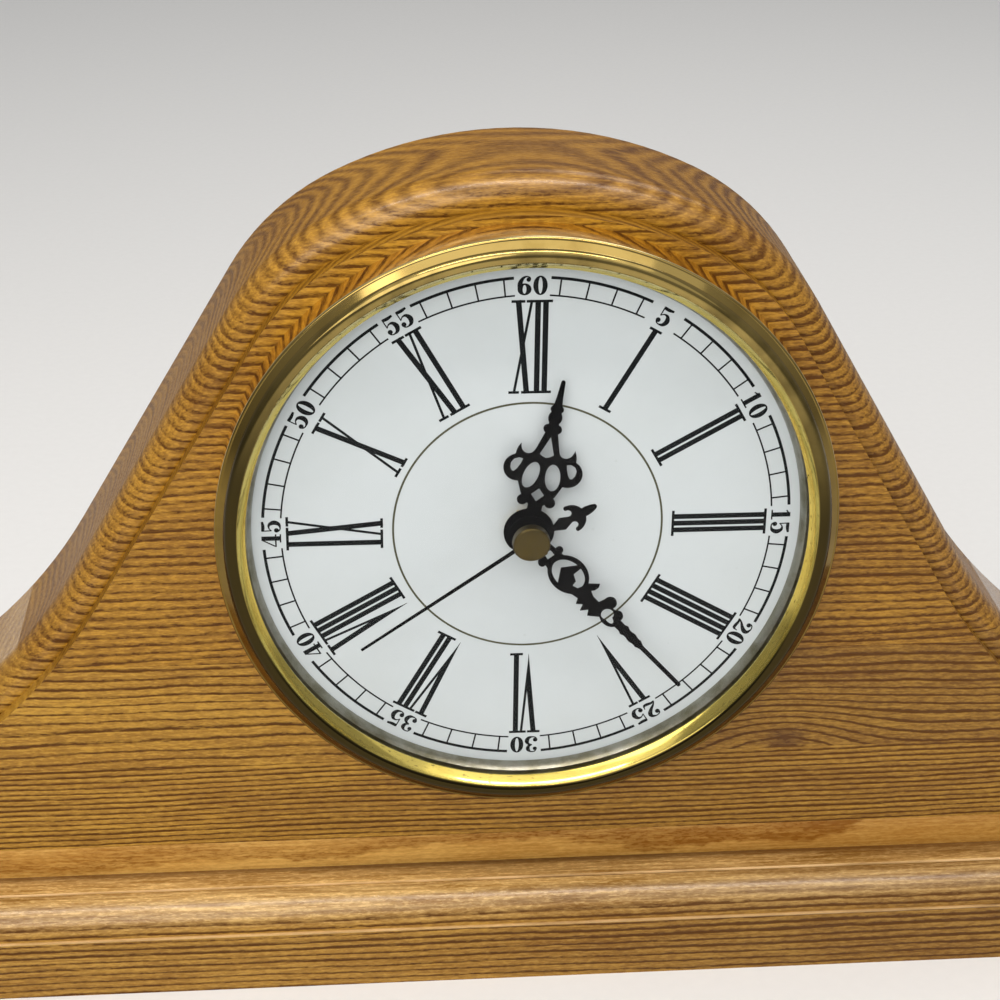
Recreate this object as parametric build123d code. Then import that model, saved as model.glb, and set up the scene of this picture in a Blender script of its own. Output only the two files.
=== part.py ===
"""Tambour mantel clock: a glued-up wooden case on a moulded base, with a quartz clock head.

X runs to the viewer's right, Y away from the viewer and Z up. The origin lies on the surface
that the clock stands on, under the middle of the box that holds the whole clock. Pieces of the
clock head are placed by their depth behind the printed face of the dial, so a negative depth
stands in front of it.
"""
import os
from math import cos, hypot, radians, sin

from build123d import *

# Case: boards glued edge to edge, sawn to a hat outline, moulded round the front
case_depth = 46.0
dial_height = 126.0
crown_rise = 84.4
crown_radius = 102.0
crown_angle = 26.0
shoulder_radius = 63.0
flank_angle = 59.0
sweep_radius = 130.0
wing_angle = 15.0
nose_radius = 20.0
nose_lift = 4.0
edge_round = 7.2
edge_flat = 0.6
face_step = 5.5
back_ease = 0.8
bore_diameter = 101.6
lowest_board_height = 8.6
middle_board_height = 29.9
crown_board_drop = 38.6

# Base board
base_thick = 25.4
base_reach = 17.0
base_round = 8.0
base_quirk = 0.6
base_screw_spread = 240.0
base_screw_setback = 13.8
base_screw_gauge = 4.0
base_screw_head = 8.0
base_screw_head_height = 3.0
base_screw_sink = 1.0
base_screw_length = 45.0
pilot_clearance = 0.05
screw_hole_clearance = 0.25

# Dial, its pan and the bezel
dial_stand = 5.0
dial_radius = 69.5
dial_sheet = 0.6
pan_sheet = 0.8
pan_lap = 0.5
pan_screw_circle_radius = 72.0
pan_screw_angle = 20.0
pan_screw_gauge = 1.8
pan_screw_head = 3.2
pan_screw_head_height = 1.0
pan_screw_length = 11.0
bezel_radius = 75.0
bezel_sheet = 0.8
bezel_wall = 9.6
bezel_shoulder_radius = 0.7
band_width = 1.5
band_rise = 1.2
bead_width = 3.35
bead_rise = 0.9
bead_crown = 1.0
slope_width = 1.85
slope_drop = 2.25
slope_hollow = 0.12
bezel_fit = 0.2

# Glass and the sight ring behind it
glass_radius = 68.6
glass_thick = 1.2
glass_edge_depth = 3.2
glass_sagitta = 10.7
glass_seat = 0.4
sight_radius = 66.3
sight_flare = 1.0
sight_round = 0.3
sight_flange = 2.2
sight_rim = 0.8
sight_gap = 0.1

# Movement housing
movement_width = 56.0
movement_depth = 16.0
movement_wall = 1.2
movement_corner = 3.0
gasket_thick = 0.6
gasket_radius = 11.0
bay_height = 14.6
bay_web = 1.2
cover_lip = 2.0
cover_fit = 0.15
bushing_radius = 3.5
bushing_flange = 6.0
bushing_front = 1.9
nut_flats = 9.5
nut_thick = 1.2
nut_washer_radius = 4.9
nut_washer_thick = 0.4
thread_clearance = 0.05
plate_thick = 1.0
plate_setback = 9.6
plate_left = 18.0
plate_right = 15.5
plate_bottom = 9.8
plate_top = 20.6
post_radius = 1.3

# Running fits, press fits and small gaps
pipe_clearance = 0.1
pivot_clearance = 0.05
press_gap = 0.02
end_gap = 0.1

# Hand arbors, one inside the other
hour_pipe_radius = 2.6
hour_pipe_wall = 0.65
second_arbor_radius = 0.75
arbor_radius = 0.6
pivot_radius = 0.4
pivot_length = 0.9

# Gear train: teeth, and the module of the first mesh on each pair of axes
second_teeth = 48
second_pinion = 8
third_teeth = 60
third_pinion = 8
third_module = 0.32
third_direction = 35.0
centre_teeth = 64
intermediate_teeth = 50
intermediate_pinion = 8
intermediate_module = 0.40
intermediate_direction = 205.0
rotor_pinion_teeth = 10
rotor_module = 0.16
rotor_direction = 180.0
cannon_teeth = 12
reduction_teeth = 36
reduction_pinion = 10
reduction_module = 0.47
reduction_direction = 150.0
hour_teeth = 40
setting_teeth = 12
setting_direction = 100.0
tooth_height = 0.85
tooth_depth = 1.2
tooth_tip_share = 0.09
tooth_root_share = 0.27
wheel_thick = 0.8
pinion_extra = 0.4
layer_gap = 0.6

# Stepping motor, circuit and cell
magnet_radius = 2.0
magnet_length = 1.4
magnet_gap = 0.3
stator_thick = 1.0
stator_margin = 0.9
stator_tip = 0.4
coil_offset = 22.5
coil_core = 4.0
coil_low = -3.5
coil_high = 12.0
coil_radius = 3.1
bobbin_flange = 0.8
bobbin_wall = 0.3
stator_end = 4.2
board_length = 40.0
board_width = 4.8
board_centre = 4.0
board_height_up = 23.9
board_thick = 1.0
crystal_radius = 1.0
crystal_length = 6.0
chip_radius = 1.9
chip_height = 0.8
cell_radius = 7.15
cell_length = 48.6
cell_nub_radius = 2.7
cell_nub = 1.4
cell_seat = 0.3
contact_sheet = 0.4
contact_width = 9.0

# Setting knob on the back
knob_teeth = 20
knob_module = 0.58
knob_thick = 4.5
knob_gap = 0.6

# Hands: how far each stands in front of the dial, and where it points
hand_sheet = 0.4
hour_stand = 2.2
minute_stand = 4.8
second_stand = 7.2
hour_hand_length = 39.65
minute_hand_length = 57.2
second_hand_length = 49.7
hour_angle = 10.9
minute_angle = 138.2
second_angle = 235.0
second_tail_lean = 4.8
cap_radius = 4.45
cap_thick = 2.6
cap_round = 0.5
sleeve_radius = 1.5
sleeve_length = 0.9
collet_radius = 3.6
collet_length = 0.7
hand_end = 0.4

# Places worked out from the sizes above
base_depth = case_depth + base_reach
glass_apex = glass_edge_depth + glass_sagitta + glass_thick
back_y = (case_depth + max(base_reach, dial_stand + glass_apex)) / 2
face_y = back_y - case_depth
dial_y = face_y - dial_stand
FRONT = (0, -1, 0)
hand_axis = Axis((0, dial_y, dial_height), (0, 1, 0))

pan_back = dial_sheet + pan_sheet
movement_front = pan_back + gasket_thick
movement_inside = movement_front + movement_wall
movement_back = movement_front + movement_depth
cover_front = movement_back - movement_wall
inner_half = movement_width / 2 - movement_wall
bay_top = -inner_half + bay_height
train_bottom = bay_top + bay_web
plate_front = movement_front + plate_setback
plate_back = plate_front + plate_thick

# Depths of the wheel layers, from the front wall of the movement towards the back
hour_layer = movement_inside + pinion_extra
cannon_layer = hour_layer + wheel_thick + layer_gap
centre_layer = cannon_layer + wheel_thick + layer_gap + pinion_extra
third_layer = centre_layer + wheel_thick + layer_gap + pinion_extra
second_layer = third_layer + wheel_thick + layer_gap

third_reach = third_module * (second_pinion + third_teeth) / 2
centre_module = 2 * third_reach / (third_pinion + centre_teeth)
reduction_reach = reduction_module * (cannon_teeth + reduction_teeth) / 2
hour_module = 2 * reduction_reach / (reduction_pinion + hour_teeth)
intermediate_reach = intermediate_module * (intermediate_pinion + second_teeth) / 2
rotor_reach = rotor_module * (rotor_pinion_teeth + intermediate_teeth) / 2
setting_reach = reduction_module * (reduction_teeth + setting_teeth) / 2


def polar(origin, reach, direction):
    """A point at a distance and a direction, in degrees, from another, seen from the front."""
    turn = radians(direction)
    return (origin[0] + reach * cos(turn), origin[1] + reach * sin(turn))


centre_at = (0.0, 0.0)
third_at = polar(centre_at, third_reach, third_direction)
intermediate_at = polar(centre_at, intermediate_reach, intermediate_direction)
rotor_at = polar(intermediate_at, rotor_reach, rotor_direction)
reduction_at = polar(centre_at, reduction_reach, reduction_direction)
setting_at = polar(reduction_at, setting_reach, setting_direction)


# Helpers for the clock head


def front_plane(depth):
    """The plane parallel to the dial at a depth, seen from the front."""
    return Plane((0, dial_y + depth, dial_height), x_dir=(1, 0, 0), z_dir=FRONT)


def slab(sketch, front, back, at=centre_at):
    """A flat piece cut to a sketch, between two depths."""
    return extrude(front_plane(back) * Pos(at[0], at[1]) * sketch, amount=back - front, dir=FRONT)


def rod(radius, front, back, at=centre_at):
    """A round bar between two depths."""
    return slab(Circle(radius), front, back, at)


def tube(radius, inner, front, back, at=centre_at):
    """A round tube between two depths."""
    return slab(Circle(radius) - Circle(inner), front, back, at)


def turned(*edges):
    """A piece turned about the hand axis from edges given as radius and depth."""
    profile = Plane((0, dial_y, dial_height), x_dir=(1, 0, 0), z_dir=(0, 0, 1)) * make_face(edges)
    return revolve(profile, axis=hand_axis)


def block(x0, x1, z0, z1, front, back):
    """A rectangular block between two depths, measured from the hand axis."""
    width = x1 - x0
    height = z1 - z0
    return slab(Rectangle(width, height), front, back, (x0 + width / 2, z0 + height / 2))


# Wooden case


def outline_edges(inset):
    """The hat outline of the case, drawn in by an inset: crown, shoulders, flanks, sweeps and noses."""

    def normal(angle):
        return Vector(sin(radians(angle)), cos(radians(angle)))

    def arc(centre, radius, start, end):
        return [centre + radius * normal(angle) for angle in (start, (start + end) / 2, end)]

    crown_centre = Vector(0, dial_height + crown_rise - crown_radius)
    shoulder_centre = crown_centre + (crown_radius - shoulder_radius) * normal(crown_angle)
    flank_top = shoulder_centre + shoulder_radius * normal(flank_angle)
    sweep_drop = sweep_radius * (normal(wing_angle).Y - normal(flank_angle).Y)
    nose_drop = nose_radius * normal(wing_angle).Y
    flank_drop = flank_top.Y - base_thick - nose_lift - sweep_drop - nose_drop
    flank_foot = flank_top + Vector(flank_drop / normal(flank_angle).X * normal(flank_angle).Y, -flank_drop)
    sweep_centre = flank_foot + sweep_radius * normal(flank_angle)
    wing_tip = sweep_centre - sweep_radius * normal(wing_angle)
    nose_centre = wing_tip - nose_radius * normal(wing_angle)

    shoulder = arc(shoulder_centre, shoulder_radius - inset, crown_angle, flank_angle)
    sweep = arc(sweep_centre, -(sweep_radius + inset), flank_angle, wing_angle)
    nose = arc(nose_centre, nose_radius - inset, wing_angle, 90)
    foot = Vector(nose[2].X, base_thick)
    crown = arc(crown_centre, crown_radius - inset, -crown_angle, crown_angle)

    edges = [ThreePointArc(*crown)]
    for side in (1, -1):
        def hand(points):
            return [(side * point.X, point.Y) for point in points]

        edges += [ThreePointArc(*hand(shoulder)), Line(*hand([shoulder[2], sweep[0]]))]
        edges += [ThreePointArc(*hand(sweep)), ThreePointArc(*hand(nose)), Line(*hand([nose[2], foot]))]
    edges.append(Line((-foot.X, base_thick), (foot.X, base_thick)))
    return edges, foot.X


def case_blank(inset, front, back):
    """The outline, drawn in by an inset, sawn out between two places along Y."""
    edges, _ = outline_edges(inset)
    plane = Plane((0, back, 0), x_dir=(1, 0, 0), z_dir=FRONT)
    return extrude(plane * make_face(edges), amount=back - front, dir=FRONT)


case_half_width = outline_edges(0)[1]
base_half_length = case_half_width + base_reach
screw_rows = (face_y + base_screw_setback, back_y - base_screw_setback)
screw_spots = [(side * base_screw_spread / 2, row) for side in (-1, 1) for row in screw_rows]


def base_screw_holes(radius):
    """Upright holes on the spots where the base is screwed to the case."""
    height = base_screw_sink + base_screw_length
    return [Pos(x, y, height / 2) * Cylinder(radius, height) for x, y in screw_spots]


def pan_screw_spots():
    """Where the screws go through the flange of the pan."""
    angles = (pan_screw_angle, 180 - pan_screw_angle, 180 + pan_screw_angle, -pan_screw_angle)
    return [polar(centre_at, pan_screw_circle_radius, angle) for angle in angles]


def case_boards():
    """The moulded case, cut into the boards that it is glued up from, the lowest first."""
    step_y = face_y + face_step
    body = case_blank(0, step_y, back_y)
    for side, radius in ((0, edge_round), (-1, back_ease)):
        rim = body.faces().sort_by(Axis.Y)[side].edges().sort_by(Axis.Z)[1:]
        body = fillet(rim, radius)
    body += case_blank(edge_round + edge_flat, face_y, step_y)
    body -= rod(bore_diameter / 2, -dial_stand, case_depth + 2 * dial_stand)
    pilot = pan_screw_gauge / 2 + pilot_clearance
    screw_end = dial_stand - pan_sheet + pan_screw_length
    for spot in pan_screw_spots():
        body -= rod(pilot, dial_stand, screw_end, spot)
    for hole in base_screw_holes(base_screw_gauge / 2 + pilot_clearance):
        body -= hole
    crown_line = dial_height - crown_board_drop
    lines = [base_thick, base_thick + lowest_board_height, crown_line - middle_board_height, crown_line]
    lines.append(dial_height + crown_rise)
    boards = []
    for low, high in zip(lines, lines[1:]):
        stock = Box(2 * case_half_width, case_depth, high - low)
        boards.append(body & Pos(0, face_y + case_depth / 2, (low + high) / 2) * stock)
    return boards


def base_board():
    """A board with a quarter round between two quirks on its front and ends, screwed on from below."""

    def stock(inset, height):
        depth = base_depth - inset
        return Pos(0, back_y - depth / 2, height / 2) * Box(2 * (base_half_length - inset), depth, height)

    round_top = base_thick - base_quirk
    board = stock(base_quirk, round_top)
    top_edges = board.faces().sort_by(Axis.Z)[-1].edges().sort_by(Axis.Y)[:-1]
    board = fillet(top_edges, base_round)
    board += stock(0, round_top - base_round)
    board += stock(base_round + 2 * base_quirk, base_thick)
    sink = base_screw_sink + base_screw_head_height
    for hole in base_screw_holes(base_screw_gauge / 2 + screw_hole_clearance):
        board -= hole
    for x, y in screw_spots:
        board -= Pos(x, y, sink / 2) * Cylinder(base_screw_head / 2 + screw_hole_clearance, sink)
    return board


def base_screws():
    """Wood screws with flat-topped heads, sunk under the base."""
    screws = []
    for x, y in screw_spots:
        head = Cylinder(base_screw_head / 2, base_screw_head_height)
        shank_length = base_screw_length - base_screw_head_height
        shank = Cylinder(base_screw_gauge / 2, shank_length)
        middle = base_screw_sink + base_screw_head_height / 2
        screw = Pos(x, y, middle) * head
        screw += Pos(x, y, middle + base_screw_length / 2) * shank
        screws.append(screw)
    return Compound(children=screws)


# Dial, pan, bezel and glass


def dial_plate():
    return tube(dial_radius, bushing_radius + thread_clearance, 0, dial_sheet)


def dial_pan():
    """A shallow pressed pan: a platform for the dial, a wall and a flange on the wood."""
    platform = dial_radius + pan_lap
    flange = bezel_radius - bezel_sheet - bezel_fit
    hole = bushing_radius + thread_clearance
    points = [(hole, dial_sheet), (platform, dial_sheet), (platform, dial_stand - pan_sheet)]
    points += [(flange, dial_stand - pan_sheet), (flange, dial_stand), (platform - pan_sheet, dial_stand)]
    points += [(platform - pan_sheet, pan_back), (hole, pan_back)]
    pan = turned(*Polyline(*points, close=True).edges())
    for spot in pan_screw_spots():
        pan -= rod(pan_screw_gauge / 2 + pilot_clearance, dial_stand - pan_sheet, dial_stand, spot)
    return pan


def pan_screws():
    seat = dial_stand - pan_sheet
    screws = []
    for spot in pan_screw_spots():
        screw = rod(pan_screw_head / 2, seat - pan_screw_head_height, seat, spot)
        screw += rod(pan_screw_gauge / 2, seat, seat + pan_screw_length - end_gap, spot)
        screws.append(screw)
    return Compound(children=screws)


def bowed(start, end, height):
    """The middle of an arc between two points, standing off its chord to the left of the way."""
    along = (end[0] - start[0], end[1] - start[1])
    share = height / hypot(*along)
    return ((start[0] + end[0]) / 2 - along[1] * share, (start[1] + end[1]) / 2 + along[0] * share)


def bezel():
    """A spun brass shell: wall, shoulder, band, broad bead and a hollow slope down to the glass."""
    turn = dial_stand - bezel_wall
    shoulder = (bezel_radius - bezel_shoulder_radius, turn - bezel_shoulder_radius)
    shoulder_mid = polar((bezel_radius - bezel_shoulder_radius, turn), bezel_shoulder_radius, -45)
    band = (shoulder[0] - band_width, shoulder[1] - band_rise)
    bead_end = (band[0] - bead_width, band[1] - bead_rise)
    bead_mid = bowed(band, bead_end, bead_crown)
    lip = (bead_end[0] - slope_width, bead_end[1] + slope_drop)
    under = -(glass_edge_depth + glass_thick + glass_seat)
    seat = glass_radius + 2 * bezel_fit
    outer = [Line((bezel_radius, dial_stand), (bezel_radius, turn))]
    outer.append(ThreePointArc((bezel_radius, turn), shoulder_mid, shoulder))
    outer.append(Line(shoulder, band))
    outer.append(ThreePointArc(band, bead_mid, bead_end))
    outer.append(ThreePointArc(bead_end, bowed(bead_end, lip, -slope_hollow), lip))
    inside = [lip, (lip[0], under), (seat, under), (bead_end[0] + bezel_sheet, bead_end[1] + bezel_sheet)]
    inside += [(bead_mid[0], bead_mid[1] + bezel_sheet), (band[0] - bezel_sheet / 2, band[1] + bezel_sheet)]
    inside += [(bezel_radius - bezel_sheet, turn + bezel_fit), (bezel_radius - bezel_sheet, dial_stand)]
    inside.append((bezel_radius, dial_stand))
    return turned(*outer, *Polyline(*inside).edges())


def glass():
    """A domed glass of even thickness, its edge behind the lip of the bezel."""

    def dome(edge_depth):
        sphere = (glass_radius ** 2 + glass_sagitta ** 2) / (2 * glass_sagitta)
        half = glass_radius / 2
        rise = (sphere ** 2 - half ** 2) ** 0.5 - (sphere - glass_sagitta)
        return (0, -edge_depth - glass_sagitta), (half, -edge_depth - rise), (glass_radius, -edge_depth)

    inner = dome(glass_edge_depth)
    outer = dome(glass_edge_depth + glass_thick)
    rim = Line(outer[2], inner[2])
    axis_line = Line(inner[0], outer[0])
    return turned(ThreePointArc(*outer), rim, ThreePointArc(*inner), axis_line)


def sight_ring():
    """A plated ring: a rounded wall round the dial, a rim round the glass and a flange in the bezel."""
    outer = bezel_radius - bezel_sheet - press_gap
    back = -sight_gap
    ledge = -glass_edge_depth + sight_gap
    head = -(glass_edge_depth + glass_thick)
    rim = glass_radius + bezel_fit
    foot = (sight_radius, back)
    brow = (sight_radius + sight_flare, ledge)
    points = [brow, (rim, ledge), (rim, head), (rim + sight_rim, head)]
    points += [(rim + sight_rim, back - sight_flange), (outer, back - sight_flange), (outer, back), foot]
    wall = ThreePointArc(foot, bowed(foot, brow, -sight_round), brow)
    return turned(*Polyline(*points).edges(), wall)


# Movement housing


def movement_case():
    """The front shell: a square tray with a battery bay along its foot, pivot holes and posts."""
    square = RectangleRounded(movement_width, movement_width, movement_corner)
    shell = slab(square, movement_front, movement_back)
    shell -= block(-inner_half, inner_half, -inner_half, bay_top, movement_inside, movement_back)
    shell -= block(-inner_half, inner_half, train_bottom, inner_half, movement_inside, movement_back)
    half = movement_width / 2
    shell -= block(-half, half, train_bottom - bay_web / 2, half, cover_front, movement_back)
    shell -= rod(bushing_radius + press_gap, movement_front, movement_inside)
    for spot in plate_posts():
        shell += rod(post_radius, movement_inside, plate_front, spot)
    stator_front = plate_front - stator_thick - pinion_extra
    for spot in stator_posts() + board_posts():
        shell += rod(post_radius, movement_inside, stator_front, spot)
    for spot in (third_at, intermediate_at, rotor_at, reduction_at, setting_at):
        pivot = pivot_radius + pivot_clearance
        shell -= rod(pivot, movement_inside - pivot_length - end_gap, movement_inside, spot)
    return shell


def plate_posts():
    low = -plate_bottom + post_radius
    high = plate_top - post_radius
    right = plate_right - post_radius
    return [(right, low), (right, high), (-plate_left + post_radius, high)]


def stator_posts():
    return [(-coil_offset, coil_high + stator_end / 2), (-coil_offset, coil_low - stator_end / 2)]


def board_posts():
    reach = board_length / 2 - 2 * post_radius
    return [(board_centre - reach, board_height_up), (board_centre + reach, board_height_up)]


def movement_cover():
    """The back plate over the train, with a lip inside the walls and a hole for the setting arbor."""
    half = movement_width / 2
    low = train_bottom - bay_web / 2
    plate = slab(RectangleRounded(movement_width, movement_width, movement_corner), cover_front, movement_back)
    plate &= block(-half, half, low, half, cover_front, movement_back)
    lip = inner_half - cover_fit
    inner_lip = lip - movement_wall
    lip_low = train_bottom + cover_fit
    lip_front = cover_front - cover_lip
    rim = block(-lip, lip, lip_low, lip, lip_front, cover_front)
    rim -= block(-inner_lip, inner_lip, lip_low + movement_wall, inner_lip, lip_front, cover_front)
    plate += rim
    hole = second_arbor_radius + pivot_clearance
    return plate - rod(hole, cover_front, movement_back, setting_at)


def train_plate():
    """The plate that carries the back pivots of the wheels."""
    plate = block(-plate_left, plate_right, -plate_bottom, plate_top, plate_front, plate_back)
    for spot in (centre_at, third_at, intermediate_at, rotor_at, reduction_at):
        plate -= rod(pivot_radius + pivot_clearance, plate_front, plate_back, spot)
    return plate - rod(second_arbor_radius + pivot_clearance, plate_front, plate_back, setting_at)


def bushing():
    """The threaded bush that clamps the movement to the dial."""
    bush = tube(bushing_radius, hour_pipe_radius + pipe_clearance, -bushing_front, movement_inside)
    return bush + tube(bushing_flange, bushing_radius, pan_back, movement_front)


def gasket():
    return tube(gasket_radius, bushing_flange + pipe_clearance, pan_back, movement_front)


def nut_washer():
    return tube(nut_washer_radius, bushing_radius + thread_clearance, -nut_washer_thick, 0)


def hex_nut():
    hexagon = RegularPolygon(nut_flats / 2, 6, major_radius=False)
    face = hexagon - Circle(bushing_radius + thread_clearance)
    return slab(face, -nut_washer_thick - nut_thick, -nut_washer_thick)


# Gear train


def gear(teeth, module, phase):
    """A spur gear seen from the front: slim tapered teeth, one of them centred on the phase angle."""
    pitch = 360 / teeth
    root = module * (teeth / 2 - tooth_depth)
    tip = module * (teeth / 2 + tooth_height)
    corners = [(root, -tooth_root_share), (tip, -tooth_tip_share)]
    corners += [(tip, tooth_tip_share), (root, tooth_root_share)]
    points = []
    for tooth in range(teeth):
        for radius, share in corners:
            points.append(polar(centre_at, radius, phase + (tooth + share) * pitch))
    return Polygon(*points, align=None)


def meshed(phase, teeth, other_teeth, direction):
    """The phase that puts another gear, lying in a direction, in mesh with a gear of a given phase."""
    offset = (phase - direction) * teeth / 360
    return direction + 180 - 360 / other_teeth * (offset + 0.5)


def spindle(at):
    """A wheel's arbor between the front wall and the train plate, with a thinner pivot at each end."""
    arbor = rod(arbor_radius, movement_inside + end_gap, plate_front - end_gap, at)
    return arbor + rod(pivot_radius, movement_inside - pivot_length, plate_back, at)


def layer(sketch, front, at=centre_at, extra=0.0):
    """A wheel or, with extra length on both sides, the pinion that meshes with it."""
    return slab(sketch, front - extra, front + wheel_thick + extra, at)


third_wheel_phase = meshed(0, second_pinion, third_teeth, third_direction)
centre_wheel_phase = meshed(0, third_pinion, centre_teeth, third_direction + 180)
intermediate_phase = meshed(0, second_teeth, intermediate_pinion, intermediate_direction)
rotor_phase = meshed(0, intermediate_teeth, rotor_pinion_teeth, rotor_direction)
reduction_phase = meshed(0, cannon_teeth, reduction_teeth, reduction_direction)
hour_phase = meshed(0, reduction_pinion, hour_teeth, reduction_direction + 180)
setting_phase = meshed(reduction_phase, reduction_teeth, setting_teeth, setting_direction)
hour_pipe_inner = hour_pipe_radius - hour_pipe_wall
minute_pipe_radius = hour_pipe_inner - pipe_clearance
minute_pipe_inner = second_arbor_radius + pipe_clearance


def hour_wheel():
    wheel = layer(gear(hour_teeth, hour_module, hour_phase), hour_layer)
    pipe_front = -hour_stand - hand_sheet - hand_end
    wheel += rod(hour_pipe_radius, pipe_front, hour_layer + wheel_thick)
    return wheel - rod(hour_pipe_inner, pipe_front, hour_layer + wheel_thick)


def cannon_pinion():
    """The minute pipe with its pinion, and a seat behind it where the centre wheel slips."""
    pinion = layer(gear(cannon_teeth, reduction_module, 0), cannon_layer, extra=pinion_extra / 2)
    pipe_front = -minute_stand - hand_sheet - hand_end
    pipe_back = centre_layer + wheel_thick + pinion_extra
    pinion += rod(minute_pipe_radius, pipe_front, pipe_back)
    return pinion - rod(minute_pipe_inner, pipe_front, pipe_back)


def centre_wheel():
    face = gear(centre_teeth, centre_module, centre_wheel_phase)
    return layer(face - Circle(minute_pipe_radius + pivot_clearance), centre_layer)


def second_wheel():
    """The long centre arbor that carries the second hand, its wheel and its pinion."""
    wheel = layer(gear(second_teeth, intermediate_module, 0), second_layer)
    wheel += layer(gear(second_pinion, third_module, 0), third_layer, extra=pinion_extra / 2)
    cap_front = -second_stand - hand_sheet - cap_thick / 2
    wheel += rod(second_arbor_radius, cap_front, plate_front - end_gap)
    return wheel + rod(pivot_radius, plate_front - end_gap, plate_back)


def third_wheel():
    wheel = layer(gear(third_teeth, third_module, third_wheel_phase), third_layer, third_at)
    wheel += layer(gear(third_pinion, centre_module, 0), centre_layer, third_at, pinion_extra / 2)
    return wheel + spindle(third_at)


def intermediate_wheel():
    face = gear(intermediate_teeth, rotor_module, 0)
    wheel = layer(face, third_layer, intermediate_at)
    pinion = gear(intermediate_pinion, intermediate_module, intermediate_phase)
    wheel += layer(pinion, second_layer, intermediate_at, pinion_extra / 2)
    return wheel + spindle(intermediate_at)


def rotor_pinion():
    pinion = gear(rotor_pinion_teeth, rotor_module, rotor_phase)
    return layer(pinion, third_layer, rotor_at, pinion_extra / 2) + spindle(rotor_at)


def rotor_magnet():
    back = plate_front - pinion_extra / 2
    return tube(magnet_radius, arbor_radius + press_gap, back - magnet_length, back, rotor_at)


def reduction_wheel():
    wheel = layer(gear(reduction_teeth, reduction_module, reduction_phase), cannon_layer, reduction_at)
    pinion = gear(reduction_pinion, hour_module, 0)
    wheel += layer(pinion, hour_layer, reduction_at, pinion_extra / 2)
    return wheel + spindle(reduction_at)


def setting_arbor():
    """The arbor that turns the reduction wheel from the back of the clock."""
    pinion = gear(setting_teeth, reduction_module, setting_phase)
    arbor = layer(pinion, cannon_layer, setting_at, pinion_extra / 2)
    knob_back = movement_back + knob_gap + knob_thick
    arbor += rod(second_arbor_radius, movement_inside + end_gap, knob_back - end_gap, setting_at)
    return arbor + rod(pivot_radius, movement_inside - pivot_length, movement_inside + end_gap, setting_at)


def setting_knob():
    front = movement_back + knob_gap
    knob = slab(gear(knob_teeth, knob_module, 0), front, front + knob_thick, setting_at)
    return knob - rod(second_arbor_radius + press_gap, front, front + knob_thick - end_gap, setting_at)


# Stepping motor, circuit, contacts and cell


def stator():
    """A steel plate round the rotor, joined by two legs to the core of the coil."""
    back = plate_front - pinion_extra
    front = back - stator_thick
    left = -coil_offset - coil_core / 2
    right = rotor_at[0] + magnet_radius + magnet_gap + stator_tip
    top = coil_high + stator_end
    foot = coil_low - stator_end
    leg = -coil_offset + coil_radius + magnet_gap
    plate = block(left, right, foot, top, front, back)
    window_low = rotor_at[1] + magnet_radius + magnet_gap + stator_margin
    plate -= block(-coil_offset + coil_core / 2, leg, coil_low, coil_high, front, back)
    plate -= block(leg + stator_margin, right, window_low, top, front, back)
    return plate - rod(magnet_radius + magnet_gap, front, back, rotor_at)


def coil_place():
    """The middle of the coil's core, as a frame whose Z runs along the core."""
    depth = plate_front - pinion_extra - stator_thick / 2
    middle = dial_height + (coil_low + coil_high) / 2
    return Pos(-coil_offset, dial_y + depth, middle)


def bobbin_hole():
    length = coil_high - coil_low
    return Box(coil_core + 2 * press_gap, stator_thick + 2 * press_gap, length)


def bobbin_core(spare):
    """The spool's rectangular barrel, with spare room all round."""
    return Rectangle(coil_core + 2 * bobbin_wall + spare, stator_thick + 2 * bobbin_wall + spare)


def coil_bobbin():
    length = coil_high - coil_low
    spool = extrude(bobbin_core(0), amount=length / 2, both=True)
    cheek = Cylinder(coil_radius, bobbin_flange)
    for side in (-1, 1):
        spool += Pos(0, 0, side * (length - bobbin_flange) / 2) * cheek
    return coil_place() * (spool - bobbin_hole())


def coil_winding():
    length = coil_high - coil_low - 2 * bobbin_flange - 2 * press_gap
    turns = Circle(coil_radius - bobbin_wall) - bobbin_core(2 * press_gap)
    return coil_place() * extrude(turns, amount=length / 2, both=True)


def circuit_board():
    """A narrow board with the chip under a drop of resin."""
    back = plate_front - pinion_extra
    front = back - stator_thick
    left = board_centre - board_length / 2
    low = board_height_up - board_width / 2
    board = block(left, left + board_length, low, low + board_width, front, front + board_thick)
    chip = rod(chip_radius, front + board_thick, front + board_thick + chip_height, chip_spot())
    return board + chip


def chip_spot():
    return (board_centre - board_length / 4, board_height_up)


def quartz_crystal():
    """The tuning-fork crystal in its can, lying on the board."""
    depth = plate_front - pinion_extra - stator_thick + board_thick + crystal_radius + press_gap
    can = Rot(0, 90, 0) * Cylinder(crystal_radius, crystal_length)
    return Pos(board_centre + board_length / 8, dial_y + depth, dial_height + board_height_up) * can


bay_middle = (bay_top - inner_half) / 2
cell_depth = movement_inside + cell_seat + cell_radius


def battery():
    """A single dry cell lying in the bay, its raised end to the right."""
    can = Rot(0, 90, 0) * Cylinder(cell_radius, cell_length)
    nub = Rot(0, 90, 0) * Cylinder(cell_nub_radius, cell_nub)
    cell = can + Pos((cell_length + cell_nub) / 2, 0, 0) * nub
    return Pos(-cell_nub / 2, dial_y + cell_depth, dial_height + bay_middle) * cell


def contact_positive():
    """A sprung plate against the right wall of the bay, bowed to the cell's raised end."""
    wall = inner_half
    tip = cell_length / 2 + cell_nub / 2 + press_gap
    return contact(wall, tip)


def contact_negative():
    """The same plate at the left end, bowed to the flat end of the cell."""
    tip = cell_length / 2 + cell_nub / 2 + press_gap
    return contact(-inner_half, -tip)


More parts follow.
